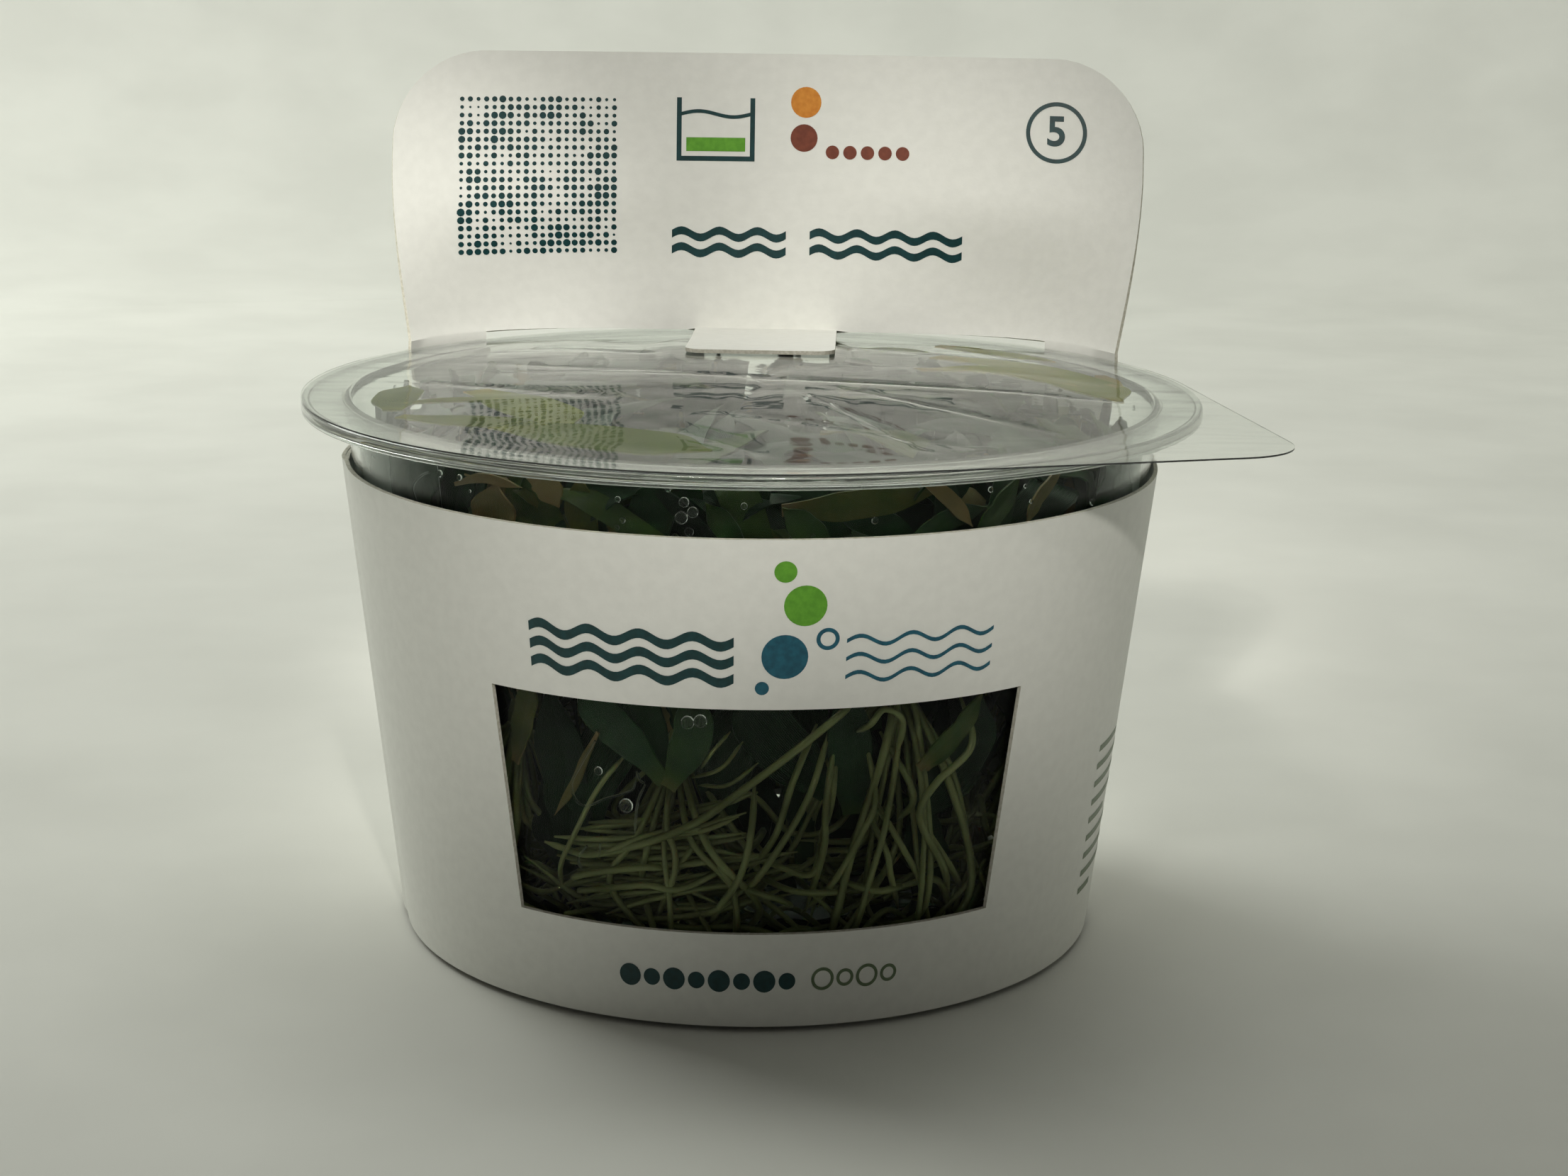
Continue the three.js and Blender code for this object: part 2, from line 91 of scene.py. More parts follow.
# Card sleeve with its header, tongue, notch and window
CARD_THICK = 0.45 * MM
CARD_GAP = 0.35 * MM
CARD_BOTTOM = 0.6 * MM
WRAP_TOP = 53.34 * MM
WINDOW_TURN = 1.3
HEADER_TURN = 2.2
WINDOW_LOW = 11.1 * MM
WINDOW_HIGH = 35.7 * MM
WINDOW_LOW_HALF = 36.8
WINDOW_HIGH_HALF = 38.6
HEADER_TOP = 95.9 * MM
HEADER_CORNER = 11 * MM
HEADER_HALF = 46.1 * MM
HEADER_WIDEST = 82 * MM
HEADER_FOOT_HALF = 43 * MM
HEADER_FOOT = 61.45 * MM
HEADER_MIDDLE_Y = 41.7 * MM
HEADER_LEAN = 2.5 * MM
EDGE_FORWARD_FOOT = 15 * MM
EDGE_FORWARD_TOP = 6 * MM
SLIT_LOW = 58.6 * MM
SLIT_HALF = 44
HEADER_EDGE = 58.4
BRIDGE_RADIUS = 50.6 * MM
FLARE_LOW = 45 * MM
FLARE_FROM = 28
FLARE_FADE = (HEADER_EDGE + 3, HEADER_EDGE + 26)
TONGUE_HALF_ANGLE = 10.2
NOTCH_LOW = 38 * MM
TONGUE_CORNER = 2.5 * MM
TONGUE_LIFT = 0.15 * MM
BOARD_RADIUS = 44 * MM  # turns an angle into a length along the flat board
BOARD_COLUMNS = 190
BOARD_ROWS = 64
SEAM_ANGLE = -100  # where the board's glued lap is, from the header's middle towards +X
LAP_ANGLE = 13

# Plants, in plain millimetres where in_cell and at_wall take them
SOLID_SEED = 25
PLANTLETS = 9
FIRST_AZIMUTH = -12
BLADES = 5
SOLID_ROOTS = 3
WINDING_ROOTS = 2
BLADE_THICK = 0.45
ROOT_RADIUS = 0.42
ROOT_STEPS = 40
EXTRA_LEAVES = 8
COMPANY_ROOTS = 4
EXTRA_ROOTS = 6
SHEAF_ROOTS = 30
LOOSE_ROOTS = 150
MIDDLE_LEAVES = 110
DEAD_LEAVES = 70
CEILING_LEAVES = 46
NECK_SIDE_LEAVES = 54
HANGING_DROPS = 110
MIST_LOW = 50.5
MIST_HIGH = 58.8
MIST_THICK = 0.06 * MM
CELL_CLEAR = 0.25
WALL_CLEAR = 0.5

# Stage: a floor that sweeps up into a wall, and its light
SWEEP_START = 0.55
SWEEP_ROUND = 0.3
SWEEP_HEIGHT = 0.9
ROOM_STRENGTH = 0.073
SOFTBOX_ENERGY = 3.0
WALL_WASH_ENERGY = 3.8
HEADER_SPOT_ENERGY = 9.5
LEFT_SPOT_ENERGY = 10
RIGHT_SPOT_ENERGY = 3.5
FRONT_SPOT_ENERGY = 4.1


def clamp(value, low, high):
    return max(low, min(high, value))


def blend(low, high, share):
    return low + (high - low) * share


def smooth(value, low, high):
    share = clamp((value - low) / (high - low), 0, 1)
    return share * share * (3 - 2 * share)


def linear(hex_colour):
    """An sRGB hex value as a linear colour with full alpha"""
    channels = [int(hex_colour[i:i + 2], 16) / 255 for i in (0, 2, 4)]
    return [c / 12.92 if c <= 0.04045 else ((c + 0.055) / 1.055) ** 2.4 for c in channels] + [1]


# Materials

# Where a colour mix node keeps its sockets
MIX_FACTOR, MIX_A, MIX_B, MIX_RESULT = 0, 6, 7, 2
# The tones at which a leaf has each of its five colours
LEAF_TONES = (0, 0.35, 0.6, 0.8, 1)


def add_node(tree, kind, settings=None, links=None):
    """Adds a node, sets its sockets or properties, and links its sockets to other nodes' outputs"""
    node = tree.nodes.new(kind)
    for name, value in (settings or {}).items():
        if name == "stops":
            elements = node.color_ramp.elements
            while len(elements) < len(value):
                elements.new(1)
            for element, (position, colour) in zip(elements, value):
                element.position = position
                element.color = colour
        elif isinstance(name, int) or name in node.inputs:
            node.inputs[name].default_value = value
        else:
            setattr(node, name, value)
    for name, source in (links or {}).items():
        tree.links.new(source, node.inputs[name])
    return node


def new_material(name, values):
    material = bpy.data.materials.new(name)
    material.use_nodes = True
    shader = material.node_tree.nodes["Principled BSDF"]
    for socket, value in values.items():
        shader.inputs[socket].default_value = value
    return material, material.node_tree, shader


def object_place(tree):
    return add_node(tree, "ShaderNodeTexCoord").outputs["Object"]


def grain(tree, coordinates, scale, detail=3.0):
    """Noise from 0 to 1; scale is the number of grains in a metre"""
    settings = {"Scale": scale, "Detail": detail}
    return add_node(tree, "ShaderNodeTexNoise", settings, {"Vector": coordinates}).outputs["Fac"]


def scaled(tree, value, factor, offset):
    """value * factor + offset"""
    settings = {"operation": "MULTIPLY_ADD", 1: factor, 2: offset}
    return add_node(tree, "ShaderNodeMath", settings, {0: value}).outputs["Value"]


def ramp(tree, value, stops):
    """A colour that goes with a value through stops, each a value and a hex colour"""
    settings = {"stops": [(position, linear(colour)) for position, colour in stops]}
    return add_node(tree, "ShaderNodeValToRGB", settings, {"Fac": value}).outputs["Color"]


def speckled(tree, shader, coordinates, scale, low, high, spread=(0.35, 0.65)):
    """Lets the base colour vary between two hex values"""
    colour = ramp(tree, grain(tree, coordinates, scale), zip(spread, (low, high)))
    tree.links.new(colour, shader.inputs["Base Color"])


def raised(tree, shader, height, distance, strength=1.0):
    """Raises the surface where height is high, by a distance in metres at most"""
    settings = {"Distance": distance, "Strength": strength}
    bent = add_node(tree, "ShaderNodeBump", settings, {"Height": height})
    tree.links.new(bent.outputs["Normal"], shader.inputs["Normal"])


def clear_polypropylene(name, index, clearness):
    """Injection-moulded clear polypropylene: glassy but slightly milky, with faint flow waves"""
    material, tree, shader = new_material(
        name,
        {
            "Roughness": 0.04,
            "IOR": index,
            "Transmission Weight": clearness,
            "Base Color": linear("f2f6f3"),
        },
    )
    raised(tree, shader, grain(tree, object_place(tree), 90, detail=2), 0.06 * MM)
    return material


def sealing_film():
    """Clear cast film, heat-sealed: glossy, with fine drawn wrinkles between the modelled creases

    Its IOR is under the plastic's 1.5, so that it mirrors the header as faintly as the photograph shows.
    """
    material, tree, shader = new_material(
        "clear_sealing_film",
        {"Roughness": 0.03, "IOR": 1.11, "Transmission Weight": 0.98, "Base Color": linear("f8faf8")},
    )
    drawn = {"Scale": (1, 2.2, 1), "Rotation": (0, 0, 0.35)}
    stretched = add_node(tree, "ShaderNodeMapping", drawn, {"Vector": object_place(tree)}).outputs["Vector"]
    raised(tree, shader, grain(tree, stretched, 60, detail=2), 0.08 * MM)
    return material


def coated_board():
    """Folding boxboard, clay-coated and matt-varnished: even white with a faint fibre mottle"""
    material, tree, shader = new_material(
        "coated_folding_boxboard", {"Roughness": 0.52, "IOR": 1.48, "Specular IOR Level": 0.4},
    )
    place = add_node(tree, "ShaderNodeUVMap", {"uv_map": "board"}).outputs["UV"]
    speckled(tree, shader, place, 700, "ebebe6", "efefea")
    raised(tree, shader, grain(tree, place, 2200, detail=5), 0.012 * MM)
    return material


def cut_board():
    """The board's die-cut edge: bare compressed fibre, greyer and rougher than its face"""
    material, tree, shader = new_material("die_cut_board_edge", {"Roughness": 0.9})
    speckled(tree, shader, object_place(tree), 2500, "c3bfb0", "dcd9cd")
    return material


def print_ink(name, low, high):
    """Offset-printed ink under matt varnish: flat colour with a little of the board's mottle"""
    material, tree, shader = new_material(name, {"Roughness": 0.42})
    speckled(tree, shader, object_place(tree), 1500, low, high)
    return material


def leaf_blade(name, colours):
    """Living submerged leaf: soft translucent tissue with parallel veins

    Its colours go with the tone attribute, from young green to old brown.
    """
    material, tree, shader = new_material(
        name,
        {"Roughness": 0.38, "IOR": 1.4, "Subsurface Weight": 0.12, "Subsurface Scale": 0.6 * MM},
    )
    tone = add_node(tree, "ShaderNodeAttribute", {"attribute_name": "tone"}).outputs["Fac"]
    along = add_node(tree, "ShaderNodeUVMap", {"uv_map": "blade"}).outputs["UV"]
    cells = scaled(tree, grain(tree, object_place(tree), 420, detail=4), 0.22, -0.11)
    shade = add_node(tree, "ShaderNodeMath", {"operation": "ADD"}, {0: tone, 1: cells}).outputs["Value"]
    bands = {"bands_direction": "X", "Scale": 1.6, "Distortion": 0.6, "Detail": 1}
    veins = add_node(tree, "ShaderNodeTexWave", bands, {"Vector": along}).outputs["Fac"]
    veined = add_node(
        tree,
        "ShaderNodeMix",
        {"data_type": "RGBA", "blend_type": "MULTIPLY", MIX_B: linear("c9d2b4")},
        {MIX_FACTOR: veins, MIX_A: ramp(tree, shade, zip(LEAF_TONES, colours))},
    ).outputs[MIX_RESULT]
    tree.links.new(veined, shader.inputs["Base Color"])
    raised(tree, shader, veins, 0.08 * MM, strength=0.6)
    return material


def root_skin():
    """Bare young root: smooth pale olive skin, browner in patches, moist"""
    material, tree, shader = new_material(
        "water_plant_root",
        {"Roughness": 0.35, "IOR": 1.38, "Subsurface Weight": 0.1, "Subsurface Scale": 0.5 * MM},
    )
    place = object_place(tree)
    speckled(tree, shader, place, 110, "5f653a", "949b68", spread=(0.3, 0.7))
    raised(tree, shader, grain(tree, place, 900), 0.05 * MM)
    return material


def still_water():
    """Condensed water: clear and smooth, with the round edge of surface tension"""
    material, tree, shader = new_material(
        "still_water",
        {"Roughness": 0.02, "IOR": 1.333, "Transmission Weight": 1, "Base Color": linear("f7faf8")},
    )
    raised(tree, shader, grain(tree, object_place(tree), 500), 0.01 * MM)
    return material


def condensed_mist():
    """Condensed mist on plastic: droplets too fine to see, milky where the mist attribute is high"""
    material, tree, shader = new_material("condensed_mist", {"IOR": 1.13, "Base Color": linear("eef3f0")})
    density = add_node(tree, "ShaderNodeAttribute", {"attribute_name": "mist"}).outputs["Fac"]
    patches = grain(tree, object_place(tree), 160)
    multiply = {"operation": "MULTIPLY"}
    thick = add_node(tree, "ShaderNodeMath", multiply, {0: density, 1: patches}).outputs["Value"]
    tree.links.new(scaled(tree, thick, -0.75, 1), shader.inputs["Transmission Weight"])
    tree.links.new(scaled(tree, thick, 0.6, 0.03), shader.inputs["Roughness"])
    return material


def studio_floor():
    """Matt painted studio board, pale and faintly mottled"""
    material, tree, shader = new_material("matt_studio_floor", {"Roughness": 0.8})
    speckled(tree, shader, object_place(tree), 25, "dcdcd6", "e3e3dd")
    return material


# The wall's IOR is under the plastic's 1.49, so that it mirrors the floor as faintly as the photograph shows
CUP_PLASTIC = clear_polypropylene("clear_moulded_polypropylene", 1.13, 0.998)
FLANGE_PLASTIC = clear_polypropylene("milky_moulded_flange", 1.45, 0.93)
FILM = sealing_film()
BOARD = coated_board()
BOARD_EDGE = cut_board()
TEAL_INK = print_ink("dark_teal_ink", "0c3436", "123f42")
BLUE_INK = print_ink("blue_teal_ink", "155064", "1d6277")
GREEN_INK = print_ink("leaf_green_ink", "5a9a28", "68aa30")
ORANGE_INK = print_ink("orange_ink", "d07f22", "dd9132")
BROWN_INK = print_ink("red_brown_ink", "6f3320", "7f3f29")
GREY_INK = print_ink("grey_green_ink", "5f6f52", "6c7c5e")
LEAF = leaf_blade("water_plant_leaf", ("0b2310", "1e4421", "48602b", "7d7645", "a08a63"))
# Leaves that cling to the film are older and so paler, and their colours are lighter still as painted light:
# the light that comes straight through the film and the film's reflection over them
LIT_FILM_LEAF = leaf_blade("pale_and_lit_water_plant_leaf", ("34420f", "5c6a1f", "858a35", "a59a4c", "ad9566"))
ROOT = root_skin()
WATER = still_water()
MIST = condensed_mist()

# Pieces


def put(name, data):
    """Adds an object with its data to the scene"""
    thing = bpy.data.objects.new(name, data)
    bpy.context.scene.collection.objects.link(thing)
    return thing


def mesh_from(name, shape):
    mesh = bpy.data.meshes.new(name)
    shape.to_mesh(mesh)
    shape.free()
    return mesh


def worked_out(thing):
    """A mesh of the object with its curves or modifiers worked out"""
    graph = bpy.context.evaluated_depsgraph_get()
    return bpy.data.meshes.new_from_object(thing.evaluated_get(graph))


def show(name, shape, materials, sharp=35):
    """Puts a finished shape in the scene as a piece of the object"""
    mesh = mesh_from(name, shape)
    for material in materials:
        mesh.materials.append(material)
    mesh.shade_smooth()
    mesh.set_sharp_from_angle(angle=math.radians(sharp))
    piece = put(name, mesh)
    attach(piece, "root")
    return piece


def thicken(piece, thickness, even=True, edge_material=0, sharp=35):
    """Gives a sheet its thickness; its cut edge has the material edge_material places after its face's"""
    wall = piece.modifiers.new("thickness", "SOLIDIFY")
    wall.thickness = thickness
    wall.offset = 0
    wall.use_even_offset = even
    wall.material_offset_rim = edge_material
    solid = worked_out(piece)
    piece.modifiers.clear()
    piece.data = solid
    solid.set_sharp_from_angle(angle=math.radians(sharp))


def show_leaves(name, shape, material=LEAF):
    leaves = show(name, shape, [material])
    thicken(leaves, LEAF_THICK, even=False, sharp=60)
    return leaves


def show_roots(name, shape):
    show(name, shape, [ROOT], sharp=80)


def cup_outer(z):
    return CUP_BASE_RADIUS + TAPER * z


def cup_inner(z):
    return cup_outer(z) - CUP_WALL


def card_middle(z):
    return cup_outer(z) + CARD_GAP + CARD_THICK / 2


# The cup: half a section, rounded at its corners, turned round its axis


def add_chain(shape, points):
    verts = [shape.verts.new(point) for point in points]
    return verts + [shape.edges.new(pair) for pair in zip(verts, verts[1:])]


def spin(shape, section, steps, centre=(0, 0, 0), degrees=360):
    """Turns a section round an upright axis, and merges its ends after a full turn"""
    bmesh.ops.spin(
        shape,
        geom=section,
        cent=centre,
        axis=(0, 0, 1),
        angle=math.radians(degrees),
        steps=steps,
        use_merge=degrees == 360,
    )


def spun(points, steps):
    """A chain of points in the XZ plane, turned full circle round Z and closed"""
    shape = bmesh.new()
    section = add_chain(shape, [(x, 0, z) for x, z in points])
    spin(shape, section, steps)
    bmesh.ops.remove_doubles(shape, verts=shape.verts, dist=0.002 * MM)
    bmesh.ops.dissolve_degenerate(shape, edges=shape.edges, dist=0.001 * MM)
    bmesh.ops.recalc_face_normals(shape, faces=shape.faces)
    return shape


def rounded_chain(corners):
    """The section's corners (x, z, radius), each rounded by its own radius"""
    points = []
    for i, (x, z, radius) in enumerate(corners):
        here = Vector((x, z))
        if radius == 0:
            points.append(here)
            continue
        before = (Vector(corners[i - 1][:2]) - here).normalized()
        after = (Vector(corners[i + 1][:2]) - here).normalized()
        half = before.angle(after) / 2
        reach = radius / math.tan(half)
        centre = here + (before + after).normalized() * radius / math.sin(half)
        start = here + before * reach - centre
        turn = start.angle_signed(here + after * reach - centre)
        for step in range(CORNER_STEPS + 1):
            points.append(centre + Matrix.Rotation(-turn * step / CORNER_STEPS, 2) @ start)
    return points


def cup():
    neck = FLANGE_TOP - FLANGE_THICK
    lip_low = FLANGE_TOP - LIP_DEPTH
    top = FLANGE_TOP - FILM_GAP
    corners = [
        (0, 0, 0),
        (CUP_BASE_RADIUS, 0, 1.1 * MM),
        (cup_outer(neck), neck, 0.5 * MM),
        (FLANGE_RADIUS - LIP_WIDTH, neck, 0.12 * MM),
        (FLANGE_RADIUS - LIP_WIDTH, lip_low, 0.12 * MM),
        (FLANGE_RADIUS, lip_low, 0.25 * MM),
        (FLANGE_RADIUS, top, 0.35 * MM),
        (cup_inner(FLANGE_TOP), top, 0.4 * MM),
        (cup_inner(CUP_FLOOR), CUP_FLOOR, 1.2 * MM),
        (0, CUP_FLOOR, 0),
    ]
    shape = spun(rounded_chain(corners), CUP_STEPS)
    for face in shape.faces:
        if face.calc_center_median().xy.length > cup_outer(neck) + 0.3 * MM:
            face.material_index = 1
    piece = show("moulded_cup", shape, [CUP_PLASTIC, FLANGE_PLASTIC])
    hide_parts("cup")


# The film lid: a disc with its pull tab, blown up a little and creased


def film_rise(x, y):
    share = 1 - (x * x + y * y) / cup_inner(FLANGE_TOP) ** 2
    return FILM_RISE * share * (1 - FILM_LEAN * y / FLANGE_RADIUS) if share > 0 else 0


def film_under(x, y):
    return FLANGE_TOP + film_rise(x, y)


def film_edge(azimuth):
    """How far the film reaches at an azimuth from the front towards +X"""
    away = math.radians(abs((azimuth - TAB_AZIMUTH + 180) % 360 - 180))
    centre = TAB_REACH - TAB_TIP_RADIUS
    spread = math.acos((FLANGE_RADIUS - TAB_TIP_RADIUS) / centre)
    tip = math.atan2(
        TAB_TIP_RADIUS * math.sin(spread), centre + TAB_TIP_RADIUS * math.cos(spread),
    )
    if away > spread:
        return FLANGE_RADIUS
    if away > tip:
        return FLANGE_RADIUS / math.cos(spread - away)
    return centre * math.cos(away) + math.sqrt(TAB_TIP_RADIUS ** 2 - (centre * math.sin(away)) ** 2)


def crease_lines(draw):
    """Straight creases: a direction, a distance from the middle, a depth, a width, and where it fades"""
    lines = [
        (
            math.radians(draw(-35, 35) if i % 3 else draw(0, 180)),
            draw(-40, 34) * MM,
            draw(0.06, 0.22) * MM,
            draw(0.7, 2.0) * MM,
            draw(-25, 25) * MM,
            draw(10, 34) * MM,
        )
        for i in range(FILM_CREASES)
    ]
    for start, end in LONG_CREASES:
        along = Vector(end) - Vector(start)
        turn = math.atan2(along.y, along.x)
        distance = start[0] * math.sin(turn) - start[1] * math.cos(turn)
        middle = (start[0] + along.x / 2) * math.cos(turn) + (start[1] + along.y / 2) * math.sin(turn)
        reach = along.length * 0.55
        lines.append((turn, distance * MM, 0.3 * MM, 0.8 * MM, middle * MM, reach * MM))
    return lines


def crease_depth(x, y, creases):
    depth = 0
    for turn, distance, deepest, width, middle, reach in creases:
        across = x * math.sin(turn) - y * math.cos(turn) - distance
        along = x * math.cos(turn) + y * math.sin(turn) - middle
        depth += deepest * math.exp(-abs(across / width) ** 1.3 - (along / reach) ** 2)
    return depth


def film_lid():
    """Makes the film, and returns its middle surface for the leaves that cling to it"""
    creases = crease_lines(Random(11).uniform)
    inner = cup_inner(FLANGE_TOP)
    flange = FLANGE_RADIUS - 1 * MM
    reaches = [inner * (i / FILM_RINGS) ** 0.9 for i in range(FILM_RINGS + 1)]
    reaches += [blend(inner, flange, 0.5), flange, blend(flange, FLANGE_RADIUS, 0.5), FLANGE_RADIUS]
    shape = spun([(reach, 0) for reach in reaches], FILM_STEPS)
    for vert in shape.verts:
        radius = vert.co.xy.length
        if radius > flange:
            azimuth = math.degrees(math.atan2(vert.co.x, -vert.co.y))
            share = (radius - flange) / (FLANGE_RADIUS - flange)
            vert.co.xy *= blend(flange, film_edge(azimuth), share) / radius
            continue
        x, y = vert.co.xy
        loose = smooth(inner - radius, 0, FILM_TIGHT)
        beside_tongue = 1 - (1 - smooth(abs(x), *PRESSED_X)) * smooth(y, *PRESSED_Y)
        dip = crease_depth(x, y, creases)
        dip += FILM_WAVES * (0.5 + 0.5 * noise.noise(Vector((x, y, 0)) * 50))
        dip += FILM_RIPPLES * (0.5 + 0.5 * noise.noise(Vector((x, y, 0.1)) * 180))
        vert.co.z = film_rise(x, y) - dip * loose * beside_tongue
    for vert in shape.verts:
        vert.co.z += FLANGE_TOP + FILM_THICK / 2
    bmesh.ops.recalc_face_normals(shape, faces=shape.faces)
    sheet = BVHTree.FromBMesh(shape)
    piece = show("sealed_film", shape, [FILM])
    thicken(piece, FILM_THICK * 0.9)
    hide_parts("film_lid")
    return sheet


# The card: its middle surface as a function of the angle from the header's middle and the height


def header_half_width(z):
    below = clamp((HEADER_WIDEST - z) / (HEADER_WIDEST - HEADER_FOOT), 0, 1)
    return HEADER_HALF - (HEADER_HALF - HEADER_FOOT_HALF) * below ** 1.6


def header_y(x, z):
    up = clamp((z - HEADER_FOOT) / (HEADER_TOP - HEADER_FOOT), 0, 1)
    power = 2 + 3 * (1 - smooth(up, 0, 0.5))
    forward = blend(EDGE_FORWARD_FOOT, EDGE_FORWARD_TOP, up ** 0.7)
    return HEADER_MIDDLE_Y + HEADER_LEAN * up - forward * (abs(x) / header_half_width(z)) ** power


def header_x(angle, z):
    return header_half_width(z) / math.sin(math.radians(HEADER_EDGE)) * math.sin(math.radians(angle))


def header_point(angle, z):
    x = header_x(angle, z)
    return Vector((x, header_y(x, z), z))


def wrap_point(angle, z):
    away = abs((angle + 180) % 360 - 180)
    beside = smooth(away, FLARE_FROM, SLIT_HALF) * (1 - smooth(away, *FLARE_FADE))
    flare = (BRIDGE_RADIUS - card_middle(SLIT_LOW)) * smooth(z, FLARE_LOW, SLIT_LOW) * beside
    lap = (CARD_THICK + 0.04 * MM) * smooth(angle, SEAM_ANGLE + 358, SEAM_ANGLE + 363)
    radius = card_middle(z) + flare + lap
    return Vector((radius * math.sin(math.radians(angle)), radius * math.cos(math.radians(angle)), z))


def card_point(angle, z):
    if z <= SLIT_LOW:
        return wrap_point(angle, z)
    if z >= HEADER_FOOT:
        return header_point(angle, z)
    share = (z - SLIT_LOW) / (HEADER_FOOT - SLIT_LOW)
    point = wrap_point(angle, SLIT_LOW).lerp(header_point(angle, HEADER_FOOT), share)
    return Vector((point.x, point.y, z))


def tongue_point(angle, z):
    """The tongue was cut from below the header's foot and is folded forwards on to the film"""
    forward = HEADER_FOOT - z
    x = header_x(angle, HEADER_FOOT)
    y = header_y(x, HEADER_FOOT) - forward
    low = max(film_under(0, y) + FILM_THICK + TONGUE_LIFT, HEADER_FOOT - 0.05 * MM)
    rest = low + CARD_THICK / 2
    return Vector((x, y, blend(HEADER_FOOT, rest, smooth(forward, 0, 1.2 * MM))))


def card_normal(point_at, angle, z):
    """Points away from the cup's axis"""
    step = 0.01
    rise = -step * MM if z <= SLIT_LOW or z >= HEADER_TOP - 0.1 * MM else step * MM
    up = (point_at(angle, z + rise) - point_at(angle, z)) / rise
    return up.cross(point_at(angle + step, z) - point_at(angle - step, z)).normalized()


TURN_CARD = Matrix.Rotation(math.radians(-HEADER_TURN), 3, "Z")


def bisect(shape, faces, point, normal, clear=False):
    """Cuts the given faces along a plane, and takes away what is beyond it if clear"""
    edges = {edge for face in faces for edge in face.edges}
    verts = {vert for face in faces for vert in face.verts}
    bmesh.ops.bisect_plane(
        shape,
        geom=[*verts, *edges, *faces],
        plane_co=point,
        plane_no=normal,
        dist=0.0005 * MM,
        clear_outer=clear,
    )


def round_corner(shape, faces_near, corner_centre, radius, first, second):
    """Rounds a sheet's corner by cutting along tangents of its round"""
    for degrees in range(5, 90, 8):
        angle = math.radians(degrees)
        normal = first * math.cos(angle) + second * math.sin(angle)
        bisect(shape, faces_near(), corner_centre + normal * radius, normal, clear=True)


def board_x(angle):
    return math.radians(angle) * BOARD_RADIUS


def card_blank():
    """The flat die-cut board: x runs along it from the glued lap, y is the height that it will have"""
    shape = bmesh.new()
    bmesh.ops.create_grid(shape, x_segments=BOARD_COLUMNS, y_segments=BOARD_ROWS, size=0.5)
    left = board_x(SEAM_ANGLE)
    right = board_x(SEAM_ANGLE + 360 + LAP_ANGLE)
    for vert in shape.verts:
        vert.co.x = blend(left, right, vert.co.x + 0.5)
        vert.co.y = blend(CARD_BOTTOM, HEADER_TOP, vert.co.y + 0.5)
    for height in (WINDOW_LOW, WINDOW_HIGH, NOTCH_LOW, WRAP_TOP, SLIT_LOW, HEADER_FOOT):
        bisect(shape, shape.faces[:], (0, height, 0), (0, 1, 0))
    for angle in (TONGUE_HALF_ANGLE, SLIT_HALF, HEADER_EDGE):
        for side in (-1, 1):
            bisect(shape, shape.faces[:], (side * board_x(angle), 0, 0), (1, 0, 0))
    window_middle = board_x(180 - WINDOW_TURN - HEADER_TURN)
    for side in (-1, 1):
        low = Vector((window_middle + side * board_x(WINDOW_LOW_HALF), WINDOW_LOW, 0))
        high = Vector((window_middle + side * board_x(WINDOW_HIGH_HALF), WINDOW_HIGH, 0))
        beside = [
            face for face in shape.faces
            if WINDOW_LOW < face.calc_center_median().y < WINDOW_HIGH
            and abs(face.calc_center_median().x - low.x) < 6 * MM
        ]
        slope = high - low
        bisect(shape, beside, low, Vector((slope.y, -slope.x, 0)).normalized())

    def is_there(x, y):
        from_middle = abs((math.degrees(x / BOARD_RADIUS) + 180) % 360 - 180)
        if WINDOW_LOW < y < WINDOW_HIGH:
            half = blend(WINDOW_LOW_HALF, WINDOW_HIGH_HALF, (y - WINDOW_LOW) / (WINDOW_HIGH - WINDOW_LOW))
            if abs(x - window_middle) < board_x(half):
                return False
        if y > WRAP_TOP and (from_middle > HEADER_EDGE or abs(x) > board_x(HEADER_EDGE)):
            return False
        return not (SLIT_LOW < y < HEADER_FOOT and TONGUE_HALF_ANGLE < from_middle < SLIT_HALF)

    gone = [face for face in shape.faces if not is_there(*face.calc_center_median().xy)]
    bmesh.ops.delete(shape, geom=gone, context="FACES")
    return shape


def is_tongue(face):
    middle = face.calc_center_median()
    return NOTCH_LOW < middle.y < HEADER_FOOT and abs(middle.x) < board_x(TONGUE_HALF_ANGLE)


